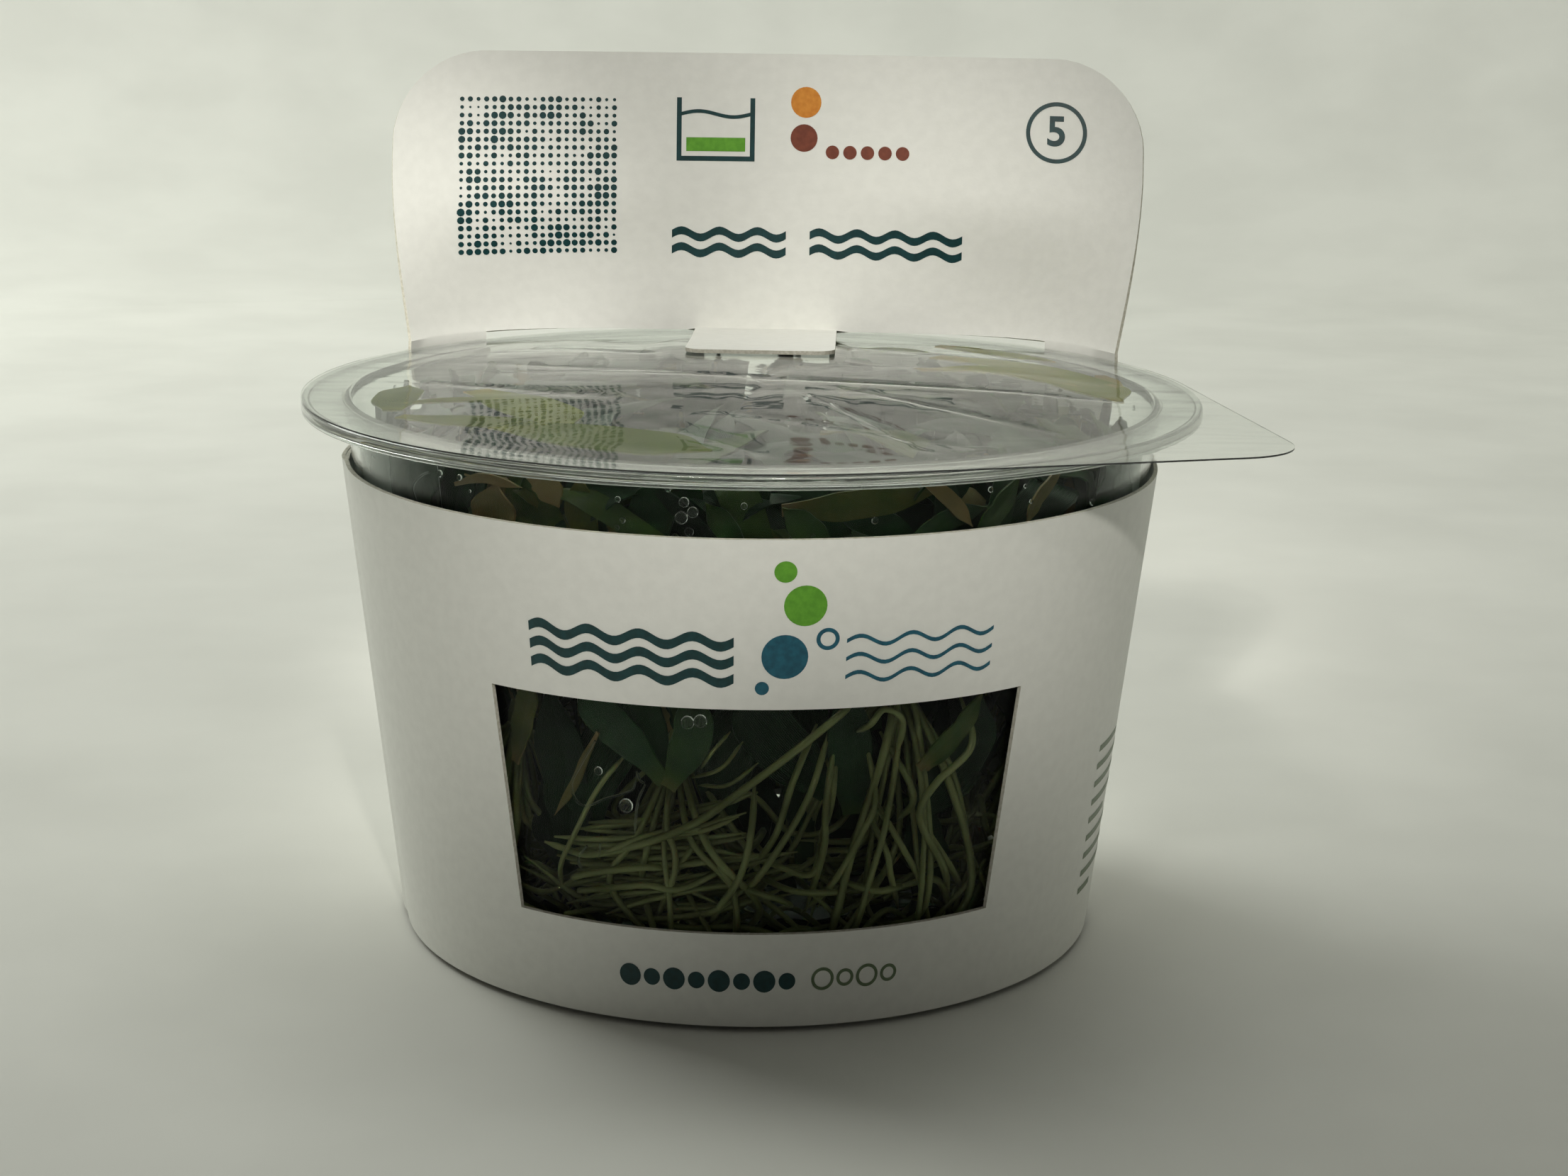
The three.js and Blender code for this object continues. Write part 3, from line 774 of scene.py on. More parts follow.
def card_sleeve():
    shape = card_blank()
    layer = shape.loops.layers.uv.new("board")
    for face in shape.faces:
        for loop in face.loops:
            loop[layer].uv = loop.vert.co.xy
    bmesh.ops.split(shape, geom=[face for face in shape.faces if is_tongue(face)])
    tongue_verts = {vert for face in shape.faces if is_tongue(face) for vert in face.verts}
    for vert in shape.verts:
        angle = math.degrees(vert.co.x / BOARD_RADIUS)
        vert.co = (tongue_point if vert in tongue_verts else card_point)(angle, vert.co.y)
    # The fold joins the tongue to the header's foot; the notch that it was cut from stays open
    at_fold = [vert for vert in shape.verts if abs(vert.co.z - HEADER_FOOT) < 0.01 * MM]
    bmesh.ops.remove_doubles(shape, verts=at_fold, dist=0.01 * MM)

    def header_faces(side):
        return lambda: [
            face for face in shape.faces
            if face.calc_center_median().z > HEADER_TOP - HEADER_CORNER - 3 * MM
            and side * face.calc_center_median().x > HEADER_HALF - HEADER_CORNER - 3 * MM
        ]

    tongue_half = header_x(TONGUE_HALF_ANGLE, HEADER_FOOT)
    tongue_tip = HEADER_MIDDLE_Y - (HEADER_FOOT - NOTCH_LOW)

    def tip_faces(side):
        return lambda: [
            face for face in shape.faces
            if face.calc_center_median().z > HEADER_FOOT - 0.5 * MM
            and face.calc_center_median().y < tongue_tip + 4 * MM
            and 0 < side * face.calc_center_median().x < tongue_half
            and face.calc_center_median().z < HEADER_FOOT + 3 * MM
        ]

    for side in (-1, 1):
        across = Vector((side, 0, 0))
        header_centre = Vector((side * (HEADER_HALF - HEADER_CORNER), 0, HEADER_TOP - HEADER_CORNER))
        round_corner(shape, header_faces(side), header_centre, HEADER_CORNER, across, Vector((0, 0, 1)))
        tip_centre = Vector((side * (tongue_half - TONGUE_CORNER), tongue_tip + TONGUE_CORNER, 0))
        round_corner(shape, tip_faces(side), tip_centre, TONGUE_CORNER, across, Vector((0, -1, 0)))
    bmesh.ops.rotate(shape, verts=shape.verts, cent=(0, 0, 0), matrix=TURN_CARD)
    bmesh.ops.recalc_face_normals(shape, faces=shape.faces)
    piece = show("board_sleeve", shape, [BOARD, BOARD_EDGE])
    thicken(piece, CARD_THICK, edge_material=1)
    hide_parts("card_sleeve")


# Print on the card: flat shapes drawn in millimetres, x across and y up, then laid on the board

INK_THICK = 0.02 * MM
INK_LIFT = 0.03 * MM
WAVE_STEP = 0.4 * MM
DOT_ROWS = 20
DOT_PITCH = 0.98
PRINT_STRIP = 1.5 * MM  # a wide shape is cut into strips of this width, so that it follows the board
SLEEVE_INKS = {"teal": TEAL_INK, "blue": BLUE_INK, "green": GREEN_INK, "grey": GREY_INK}
HEADER_INKS = {"teal": TEAL_INK, "green": GREEN_INK, "orange": ORANGE_INK, "brown": BROWN_INK}


def add_dot(shape, x, y, radius, sides):
    made = bmesh.ops.create_circle(shape, cap_ends=True, segments=sides, radius=radius)
    bmesh.ops.translate(shape, verts=made["verts"], vec=(x, y, 0))


def add_bar(shape, x0, x1, y0, y1):
    made = bmesh.ops.create_grid(shape, x_segments=1, y_segments=1, size=0.5)
    bmesh.ops.scale(shape, verts=made["verts"], vec=(x1 - x0, y1 - y0, 1))
    bmesh.ops.translate(shape, verts=made["verts"], vec=((x0 + x1) / 2, (y0 + y1) / 2, 0))


def add_ring(shape, x, y, radius, stroke, sides=48):
    section = add_chain(shape, [(x + radius - stroke, y, 0), (x + radius, y, 0)])
    spin(shape, section, sides, centre=(x, y, 0))


def add_wave(shape, x0, x1, y, stroke, height, length):
    """A wavy stroke with square ends"""
    columns = max(8, round((x1 * MM - x0 * MM) / WAVE_STEP))
    made = bmesh.ops.create_grid(shape, x_segments=columns, y_segments=1, size=0.5)
    for vert in made["verts"]:
        x = blend(x0, x1, vert.co.x + 0.5)
        swell = height / 2 * math.sin(2 * math.pi * (x - x0) / length)
        vert.co = (x, y + swell + vert.co.y * stroke, 0)


def sleeve_surface(x, z):
    """The outside of the sleeve where the print's x is measured along the board from the front"""
    angle = 180 - HEADER_TURN - math.degrees(x / card_middle(41 * MM))
    return card_point(angle, z), card_normal(card_point, angle, z)


def header_surface(x, z):
    """The side of the header that faces the viewer"""
    angle = math.degrees(math.asin(x * math.sin(math.radians(HEADER_EDGE)) / header_half_width(z)))
    return header_point(angle, z), -card_normal(header_point, angle, z)


def lay_print(name, shape, surface, ink):
    """Cuts flat shapes into strips and lays them on the board as a thin coat of ink"""
    bmesh.ops.scale(shape, verts=shape.verts, vec=(MM, MM, MM))
    reach = [vert.co.x for vert in shape.verts]
    cut = min(reach) + PRINT_STRIP
    while cut < max(reach):
        bisect(shape, shape.faces[:], (cut, 0, 0), (1, 0, 0))
        cut += PRINT_STRIP
    for vert in shape.verts:
        point, out = surface(vert.co.x, vert.co.y)
        vert.co = TURN_CARD @ (point + out * (CARD_THICK / 2 + INK_LIFT))
    coat = show(name, shape, [ink])
    thicken(coat, INK_THICK)


def numeral(shape, text, x, y, height):
    """A plain numeral, centred"""
    curve = bpy.data.curves.new("numeral", "FONT")
    curve.body = text
    curve.align_x = "CENTER"
    curve.align_y = "CENTER"
    curve.size = height
    curve.offset = height * 0.02
    holder = put("numeral_holder", curve)
    mesh = worked_out(holder)
    bpy.data.objects.remove(holder)
    start = len(shape.verts)
    shape.from_mesh(mesh)
    shape.verts.ensure_lookup_table()
    bmesh.ops.translate(shape, verts=shape.verts[start:], vec=(x, y, 0))


def print_sleeve():
    shapes = [bmesh.new() for _ in SLEEVE_INKS]
    teal, blue, green, grey = shapes
    for row in range(3):
        add_wave(teal, -23, -1.6, 39 + 1.9 * row, 1.0, 1.0, 5.35)
        add_wave(blue, 9.5, 25.7, 39 + 1.9 * row, 0.42, 1.0, 5.4)
    add_dot(green, 5.3, 46.6, 2.1, 32)
    add_dot(green, 3.3, 50.1, 1.1, 24)
    add_dot(blue, 3.4, 41.3, 2.3, 32)
    add_ring(blue, 7.6, 43.1, 1.15, 0.4)
    add_dot(blue, 1.2, 38.0, 0.7, 20)
    for i in range(8):
        add_dot(teal, -13.3 + 2.55 * i, 5.8, 0.95 if i % 2 else 1.25, 24)
    for i in range(4):
        add_ring(grey, 8.6 + 2.6 * i, 5.9, 1.0 if i % 2 else 1.3, 0.35, 32)
    # A block of plain lines round the sleeve's right side
    for row, length in enumerate((9, 12, 11, 12, 7, 12, 10, 12, 5)):
        add_bar(grey, 50, 50 + length, 24 - 2.1 * row, 24.7 - 2.1 * row)
    for shape, (colour, ink) in zip(shapes, SLEEVE_INKS.items()):
        lay_print("sleeve_print_" + colour, shape, sleeve_surface, ink)


def print_header():
    draws = Random(5)
    shapes = [bmesh.new() for _ in HEADER_INKS]
    teal, green, orange, brown = shapes
    # A square field of dots that grow and shrink
    for row in range(DOT_ROWS):
        for column in range(DOT_ROWS):
            size = 0.5 + 0.5 * noise.noise(Vector((row * 0.31, column * 0.31, 4)))
            radius = 0.14 + 0.34 * clamp(size + draws.uniform(-0.3, 0.3), 0, 1)
            add_dot(teal, -38.0 + DOT_PITCH * column, 71.4 + DOT_PITCH * row, radius, 10)
    # A square frame with a level in it
    add_bar(teal, -11.6, -11.0, 82.6, 90.4)
    add_bar(teal, -2.4, -1.8, 82.6, 90.4)
    add_bar(teal, -11.0, -2.4, 82.6, 83.2)
    add_wave(teal, -11.0, -2.4, 88.4, 0.45, 0.7, 8.6)
    add_bar(green, -10.4, -3.0, 83.8, 85.5)
    add_dot(orange, 4.6, 90.0, 1.9, 28)
    add_dot(brown, 4.4, 85.6, 1.7, 28)
    for i in range(5):
        add_dot(brown, 8.0 + 2.2 * i, 83.9, 0.85, 20)
    add_ring(teal, 35.7, 87, 3.7, 0.5, 64)
    numeral(teal, "5", 35.7, 87, 5.0)
    for row in range(2):
        add_wave(teal, -12.1, 2.3, 71.5 + 2.0 * row, 1.0, 0.9, 4.8)
        add_wave(teal, 5.3, 24.5, 71.5 + 2.0 * row, 1.0, 0.9, 4.8)
    for shape, (colour, ink) in zip(shapes, HEADER_INKS.items()):
        lay_print("header_print_" + colour, shape, header_surface, ink)


# Plants

DRAW_FACTOR = 16807
DRAW_MODULUS = 2147483647


class SolidDraws:
    """The same row of numbers as the solids are drawn with, so that leaves and roots follow them"""

    def __init__(self, seed):
        self.state = seed

    def uniform(self, low, high):
        self.state = self.state * DRAW_FACTOR % DRAW_MODULUS
        return blend(low, high, self.state / DRAW_MODULUS)


def in_cell(azimuth, radius, angle, height, half_width):
    """A point of a plantlet's own share of the cup, from millimetres and degrees, in metres"""
    height = max(height, CUP_FLOOR / MM + WALL_CLEAR + half_width)
    wall = cup_inner(height * MM) / MM - WALL_CLEAR - BLADE_THICK
    radius = clamp(radius, 7.5, wall)
    room = 180 / PLANTLETS - math.degrees(math.asin((half_width + CELL_CLEAR) / radius))
    turn = math.radians(azimuth + clamp(angle, -room, room))
    x = radius * math.sin(turn) * MM
    y = -radius * math.cos(turn) * MM
    return Vector((x, y, min(height * MM, film_under(x, y) - (WALL_CLEAR + BLADE_THICK / 2 + 0.5) * MM)))


def smooth_path(controls, steps):
    """A smooth curve that passes through all the control points"""
    spans = len(controls) - 1
    ends = [controls[0] * 2 - controls[1], *controls, controls[-1] * 2 - controls[-2]]
    path = []
    for i in range(steps + 1):
        at = min(i / steps * spans, spans - 1e-6)
        span = int(at)
        t = at - span
        a, b, c, d = ends[span:span + 4]
        bend = (2 * a - 5 * b + 4 * c - d) * t * t + (3 * b - a - 3 * c + d) * t ** 3
        path.append(0.5 * (2 * b + (c - a) * t + bend))
    return path


def path_in(azimuth, controls, steps, half_width):
    path = smooth_path([Vector(control) for control in controls], steps)
    return [in_cell(azimuth, at.x, at.y, at.z, half_width) for at in path]


def leaf_width(share):
    """A blade's width along its length: narrow sheath, widest past the middle, pointed tip"""
    rise = 0.42 + 0.58 * smooth(share, 0, 0.45)
    return rise * (1 - smooth(share, 0.72, 1.02) ** 1.4)


LEAF_ALONG = 22
LEAF_ACROSS = 6
LEAF_THICK = 0.22 * MM
LEAF_TO_WALL = 0.25 * MM
LEAF_TO_FILM = 1.25 * MM
LEAF_TO_LID_EDGE = 0.6 * MM


def draw_in(point, reach):
    """Moves a point that is further than reach from the cup's axis back to it"""
    if point.xy.length > reach:
        point.xy *= reach / point.xy.length


def keep_inside(point):
    """Moves a point that has left the cup back behind its wall or under its film"""
    draw_in(point, cup_inner(point.z) - LEAF_TO_WALL)
    point.z = min(point.z, film_under(*point.xy) - LEAF_TO_FILM)


def add_leaf(shape, path, half_width, aside, tone, twist=0.0, fold=0.25, hold=keep_inside):
    """Lays a strip along a path, narrows it to a sheath and a point, and folds it along its midrib"""
    uv = shape.loops.layers.uv.get("blade") or shape.loops.layers.uv.new("blade")
    tones = shape.verts.layers.float.get("tone") or shape.verts.layers.float.new("tone")
    made = bmesh.ops.create_grid(shape, x_segments=LEAF_ACROSS, y_segments=LEAF_ALONG, size=0.5)["verts"]
    faces = {face for vert in made for face in vert.link_faces}
    for face in faces:
        for loop in face.loops:
            loop[uv].uv = ((loop.vert.co.x + 0.5) * 6, (loop.vert.co.y + 0.5) * 20)
    for vert in made:
        share = clamp(vert.co.y + 0.5, 0, 1)
        across = vert.co.x * 2
        at = share * (len(path) - 1)
        i = min(int(at), len(path) - 2)
        point = path[i].lerp(path[i + 1], at - i)
        along = (path[min(i + 2, len(path) - 1)] - path[max(i - 1, 0)]).normalized()
        flat = (aside - along * aside.dot(along)).normalized()
        turned = Matrix.Rotation(twist * (share - 0.3), 3, along) @ flat
        face_out = along.cross(turned)
        width = half_width * max(leaf_width(share), 0.03)
        ripple = 0.06 * half_width * math.sin(share * 23 + tone * 40) * across
        lift = fold * abs(across) * width + ripple
        vert.co = point + turned * across * width + face_out * lift
        hold(vert.co)
        vert[tones] = clamp(tone + 0.28 * (1 - smooth(share, 0, 0.25)) + 0.2 * smooth(share, 0.88, 1), 0, 1)


def add_crown(shape, centre, radius, height):
    """The swollen base where leaves and roots meet"""
    made = bmesh.ops.create_icosphere(shape, subdivisions=3, radius=1)["verts"]
    for vert in made:
        swell = 1 + 0.12 * noise.noise(vert.co * 2.5 + centre * 300)
        wide = radius * (1 - 0.35 * vert.co.z)
        vert.co = centre + Vector((vert.co.x * wide, vert.co.y * wide, vert.co.z * height)) * swell


def tubes(name, paths, radii, sides=1, start=0.75, end=0.3, taper=0.2):
    """Closed round tubes along paths, tapered towards both ends"""
    curve = bpy.data.curves.new(name, "CURVE")
    curve.dimensions = "3D"
    curve.bevel_depth = 1
    curve.bevel_resolution = sides
    curve.use_fill_caps = True
    for path, radius in zip(paths, radii):
        line = curve.splines.new("POLY")
        line.points.add(len(path) - 1)
        for i, (point, place) in enumerate(zip(line.points, path)):
            share = i / (len(path) - 1)
            point.co = (*place, 1)
            point.radius = radius * blend(start, 1, smooth(share, 0, taper))
            point.radius *= blend(1, end, smooth(share, 1 - taper, 1))
    holder = put(name, curve)
    mesh = worked_out(holder)
    bpy.data.objects.remove(holder)
    # The end caps come apart from the tube, so they are merged with it
    shape = bmesh.new()
    shape.from_mesh(mesh)
    bmesh.ops.remove_doubles(shape, verts=shape.verts, dist=0.0005 * MM)
    bmesh.ops.recalc_face_normals(shape, faces=shape.faces)
    return shape


def side_of(azimuth):
    return Vector((math.cos(math.radians(azimuth)), math.sin(math.radians(azimuth)), 0))


def solid_leaves(leaves, azimuth, crown, solid, extra):
    """The blades that the plantlet's solid has"""
    crown_r, crown_a, crown_z = crown
    for i in range(BLADES):
        half_width = solid(1.4, 2.1)
        aside = blend(-14, 14, (i + 0.5) / BLADES) + solid(-3, 3)
        if i % 2:
            rest = [(32, aside * 0.5, 50), (27, aside, 60), (solid(9, 18), aside * 1.2, 62)]
        else:
            rest = [(39, aside * 0.7, 46), (41, aside, 55)]
            rest.append((solid(37, 42), aside * 1.3, solid(58, 62)))
        controls = [crown, (blend(crown_r, 37, 0.5), aside * 0.3, crown_z + 8), *rest]
        path = path_in(azimuth, controls, 24, half_width)
        tone = extra(0.1, 0.5)
        add_leaf(leaves, path, half_width * MM, side_of(azimuth), tone, extra(-1, 1))


def extra_leaves(leaves, azimuth, crown, extra):
    """More leaves between the solid's blades"""
    crown_r, crown_a, crown_z = crown
    for i in range(EXTRA_LEAVES):
        half_width = extra(1.1, 2.4)
        aside = extra(-15, 15)
        lean = extra(-9, 9)
        top = extra(44, 60)
        reach = extra(24, 41)
        controls = [
            crown,
            (blend(crown_r, 36, 0.5), crown_a + aside * 0.3, crown_z + extra(5, 10)),
            (blend(reach, 38, 0.6), aside, blend(crown_z, top, 0.7)),
            (reach, aside + lean, top),
            (reach + extra(-9, 3), aside + lean * 1.7, top + extra(-5, 3)),
        ]
        path = path_in(azimuth, controls, 24, half_width)
        tone = extra(0.05, 0.55) if i % 4 else extra(0.6, 0.9)
        add_leaf(leaves, path, half_width * MM, side_of(azimuth), tone, extra(-1.6, 1.6))


def root_paths(azimuth, crown, solid, extra):
    """The roots that the plantlet's solid has, and finer ones beside them"""
    crown_r, crown_a, crown_z = crown
    paths = []
    for i in range(SOLID_ROOTS):
        aside = blend(-15, 15, (i + 0.5) / SOLID_ROOTS)
        controls = [
            crown,
            (38, blend(crown_a, aside, 0.4), crown_z - 8),
            (solid(37, 40), aside, solid(11, 15)),
            (solid(33, 38), aside * solid(-0.4, 1.2), solid(4, 8)),
            (solid(20, 32), solid(-12, 12), 2),
        ]
        paths.append(path_in(azimuth, controls, ROOT_STEPS, ROOT_RADIUS))
    for i in range(WINDING_ROOTS):
        side = 1 if i % 2 else -1
        controls = [
            crown,
            (solid(30, 34), side * solid(5, 11), crown_z - 10),
            (solid(25, 31), side * solid(11, 17), solid(11, 17)),
            (solid(23, 28), side * solid(-6, 6), solid(8, 14)),
            (solid(24, 32), -side * solid(11, 17), solid(4, 10)),
        ]
        paths.append(path_in(azimuth, controls, ROOT_STEPS, ROOT_RADIUS))
        # Finer roots keep it company
        for _ in range(COMPANY_ROOTS):
            beside = [
                (radius + extra(-2.5, 3), angle + extra(-5, 5), height + extra(-3, 3))
                for radius, angle, height in controls[1:]
            ]
            paths.append(path_in(azimuth, [crown, *beside], ROOT_STEPS, ROOT_RADIUS))
    for i in range(EXTRA_ROOTS):
        aside = extra(-16, 16)
        controls = [
            crown,
            (extra(33, 39), blend(crown_a, aside, 0.5), crown_z - extra(4, 9)),
            (extra(33, 40), aside, extra(10, 18)),
            (extra(28, 39), aside + extra(-14, 14), extra(4, 9)),
            (extra(15, 36), extra(-16, 16), extra(2, 5)),
        ]
        paths.append(path_in(azimuth, controls, ROOT_STEPS, ROOT_RADIUS))
    return paths


def plantlet(index, solid, extra):
    """One young plant: the blades and roots that its solid has, and finer ones between them"""
    azimuth = FIRST_AZIMUTH + index * 360 / PLANTLETS
    crown_r = solid(31, 35)
    crown_a = solid(-4, 4)
    crown_z = solid(33, 37) if index % 2 else solid(25, 29)
    crown = (crown_r, crown_a, crown_z)
    leaves = bmesh.new()
    solid_leaves(leaves, azimuth, crown, solid, extra)
    extra_leaves(leaves, azimuth, crown, extra)
    paths = root_paths(azimuth, crown, solid, extra)
    radii = [extra(0.3, 0.45) * MM for _ in paths]
    grown = show_leaves("plantlet_leaves_" + str(index + 1), leaves)
    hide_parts("plantlet_" + str(index + 1))
    name = "plantlet_roots_" + str(index + 1)
    roots = tubes(name, paths, radii)
    add_crown(roots, in_cell(azimuth, *crown, 1.7), 1.2 * MM, 3.4 * MM)
    show_roots(name, roots)


def at_wall(azimuth, height, depth):
    """A point at a depth behind the cup's outer face, from millimetres and degrees from the front"""
    radius = cup_outer(height * MM) - depth * MM
    turn = math.radians(azimuth)
    return Vector((radius * math.sin(turn), -radius * math.cos(turn), height * MM))


# The roots that show best in the window: thickness, depth behind the cup's face,
# and azimuth and height along them
WINDOW_ROOTS = [
    (0.95, 1.5, [(16, 34.5), (13, 34.5), (5.5, 30), (-1.5, 26), (-8, 22.5), (-17, 19.5), (-24, 18)]),
    (0.85, 2.2, [(11, 32), (6.5, 27), (4, 21), (0, 16)]),
    (0.85, 1.7, [(13, 31.5), (8.5, 25), (2, 17), (-1.5, 13.5)]),
    (0.85, 2.0, [(14, 30), (11.5, 24), (11.5, 19.5), (10, 11.5)]),
    (0.8, 2.4, [(14.5, 28.5), (12.5, 24.5), (12, 19)]),
    (0.8, 2.6, [(19.5, 30.5), (19.5, 24.5), (17.5, 20.5), (13.5, 15.5), (9.5, 11)]),
    (0.8, 1.6, [(20, 24.5), (23.5, 19.5), (34, 10.5)]),
    (0.8, 2.4, [(19, 23.5), (21.5, 19), (23, 15.5), (27.5, 10.5)]),
    (0.95, 1.5, [(36, 34), (34.5, 29.5), (29, 26), (26.5, 23.5), (27, 21), (31.5, 16), (37.5, 10.5)]),
    (0.9, 1.9, [(28, 22.5), (33, 16), (40.5, 11.5)]),
    (0.85, 2.8, [(22.5, 30.5), (26, 24.5), (26.5, 20.5)]),
    (0.8, 1.8, [(17.5, 31), (17.5, 33), (19.5, 34.5), (22.5, 33), (24, 28)]),
    (0.9, 1.5, [(14, 15), (20, 14.5), (27.5, 13.5)]),
    (0.8, 2.2, [(1, 15.5), (6.5, 15), (12, 14.5), (18.5, 13.5)]),
    (0.8, 2.6, [(-1, 17.5), (5, 17.5), (8.5, 16.5), (10.5, 17), (12, 19)]),
    (0.8, 1.9, [(-4, 15), (1, 15), (5, 14), (8, 12)]),
    (0.8, 2.0, [(14.5, 15), (16.5, 11)]),
    (0.85, 1.6, [(1, 26), (0.5, 22), (-1, 17), (-4, 13.5), (-6.5, 10)]),
    (0.8, 1.8, [(-10, 10.5), (-4.5, 13), (2, 16)]),
    (0.8, 2.8, [(-4.5, 22), (-10, 18), (-16, 12)]),
    (0.5, 2.2, [(-9.5, 26), (-4, 28.5), (-1, 30.5)]),
    (0.5, 2.8, [(-8.5, 25), (-3, 26.5), (1.5, 28)]),
    (0.45, 2.4, [(-8, 27), (-5.5, 30), (-3, 31.5)]),
    (0.65, 1.7, [(-20, 28.5), (-22.5, 25.5), (-27, 20), (-30, 16), (-33.5, 12)]),
    (0.8, 1.7, [(-25.5, 18.5), (-26.5, 14)]),
    (0.85, 1.6, [(-31, 13), (-27.5, 15), (-23, 16), (-17, 17), (-10.5, 16.5)]),
    (0.85, 2.0, [(-31.5, 11.5), (-26, 13.5), (-16, 15), (-10, 15), (-1, 17.5)]),
]


def root_sheaf(draw):
    """Roots that lie side by side, nearly level, from low at the window's left up to its middle"""
    paths = []
    for _ in range(SHEAF_ROOTS):
        low = draw(10, 20)
        start = draw(-34, -20)
        depth = draw(1.8, 5)
        rise = draw(1, 5.5)
        sag = draw(-1.2, 1.2)
        reach = draw(16, 34)
        controls = []
        for share in (0, 0.25, 0.5, 0.75, 1):
            height = low + rise * share + sag * math.sin(math.pi * share)
            controls.append(at_wall(start + reach * share, height, depth + draw(-0.3, 0.8)))
        paths.append(smooth_path(controls, 32))
    return paths


def window_roots(draw):
    paths = root_sheaf(draw)
    radii = [draw(0.24, 0.38) * MM for _ in paths]
    for thickness, depth, line in WINDOW_ROOTS:
        # Both ends sink away from the wall
        depths = [depth + 4] + [depth] * (len(line) - 2) + [depth + 3]
        controls = [at_wall(*spot, deep) for spot, deep in zip(line, depths)]
        paths.append(smooth_path(controls, 12 * (len(line) - 1)))
        radii.append(thickness * 0.43 * MM)
    roots = tubes("window_roots", paths, radii, sides=2, start=0.4, end=0.3, taper=0.14)
    show_roots("window_roots", roots)


# The leaves that show best in the window: half width, depth behind the cup's face, tone from green to brown,
# and azimuth and height along them
WINDOW_LEAVES = [
    (2.0, 2.6, 0.34, [(-12.5, 26.5), (-17.5, 30.5), (-21.5, 33), (-26, 36.5)]),
    (1.6, 4.0, 0.28, [(-12.5, 26), (-14.5, 31), (-16, 34.5), (-17, 38)]),
    (2.0, 2.4, 0.42, [(-12, 26), (-9.5, 29.5), (-8, 32.5), (-8.5, 37)]),
    (0.5, 1.7, 0.85, [(-22.2, 31.5), (-24.5, 28.5), (-26.5, 25.5), (-30.5, 21.5)]),
    (1.3, 3.0, 0.72, [(-39, 26), (-36.5, 31), (-34, 36)]),
    (1.1, 2.2, 0.62, [(26, 27.5), (29.5, 29.5), (33, 31.5), (36.5, 35)]),
    (0.9, 3.0, 0.6, [(28, 27), (31.5, 29), (36.5, 32.5)]),
    (3.2, 5.0, 0.16, [(27, 22), (33, 24), (38, 28), (40, 34)]),
    (2.4, 5.5, 0.24, [(17.5, 22), (16.5, 28), (15, 36)]),
    (3.0, 7.0, 0.12, [(14, 24), (6, 29), (-3, 36)]),
    (2.6, 6.0, 0.2, [(38, 11), (33, 16), (29, 22)]),
    (3.0, 7.5, 0.1, [(-36, 14), (-34, 22), (-37, 34)]),
    (3.0, 8.0, 0.14, [(-5, 20), (-4, 28), (2, 36)]),
]

# The leaves that show best in the neck, in the same way
NECK_LEAVES = [
    (2.4, 3.4, 0.2, [(-51, 48), (-48, 52), (-46, 55), (-42, 58)]),
    (2.0, 2.2, 0.3, [(-55, 49), (-53, 53), (-50.5, 56), (-46, 58)]),
    (0.5, 1.4, 1.0, [(-43.5, 55.8), (-38, 57), (-31.5, 56.6)]),
    (2.7, 2.2, 0.86, [(-37.5, 43), (-37.5, 49), (-37.3, 53), (-36.8, 56.6)]),
    (2.6, 3.4, 0.62, [(-25, 45), (-29, 51), (-32, 55), (-35, 58.5)]),
    (1.5, 1.5, 0.97, [(-31, 58.6), (-28.7, 58), (-27.2, 56.8), (-26, 55)]),
    (1.7, 2.6, 0.7, [(-22, 43), (-23, 49), (-23.4, 54), (-23.5, 58.5)]),
    (2.3, 3.2, 0.28, [(-18, 45), (-15.5, 50.5), (-13.5, 55), (-12, 58.5)]),
    (0.9, 1.8, 0.02, [(-13, 58), (-11.3, 57), (-8.7, 55.2), (-5.9, 52.8), (-2, 48)]),
    (1.2, 2.0, 0.45, [(1, 47), (-2.4, 52.6), (-3.8, 54.3), (-6, 56.4)]),
    (1.5, 2.2, 0.5, [(13, 47), (8.7, 52.6), (6.9, 53.9), (4, 56)]),
    (1.5, 2.8, 0.68, [(4, 55.6), (10.4, 55.8), (16.6, 56.3), (26, 56.9)]),
    (1.4, 3.6, 0.32, [(26, 49), (20.8, 52.8), (16, 54.2), (10, 56)]),
    (0.8, 1.3, 1.0, [(22, 58.6), (24.9, 57.3), (27.3, 55.8), (30.5, 53.2)]),
    (1.1, 2.6, 0.4, [(18, 48), (24, 52.4), (28, 54), (34, 54.8)]),
    (1.2, 1.9, 0.5, [(29, 46), (33.1, 52.5), (35.5, 54.9), (38.4, 57.8)]),
    (0.7, 1.5, 0.84, [(46, 58), (44, 56.7), (41.6, 54.9), (40.2, 52.6)]),
    (3.0, 5.5, 0.4, [(44, 46), (49, 52), (55, 55), (63, 57)]),
]

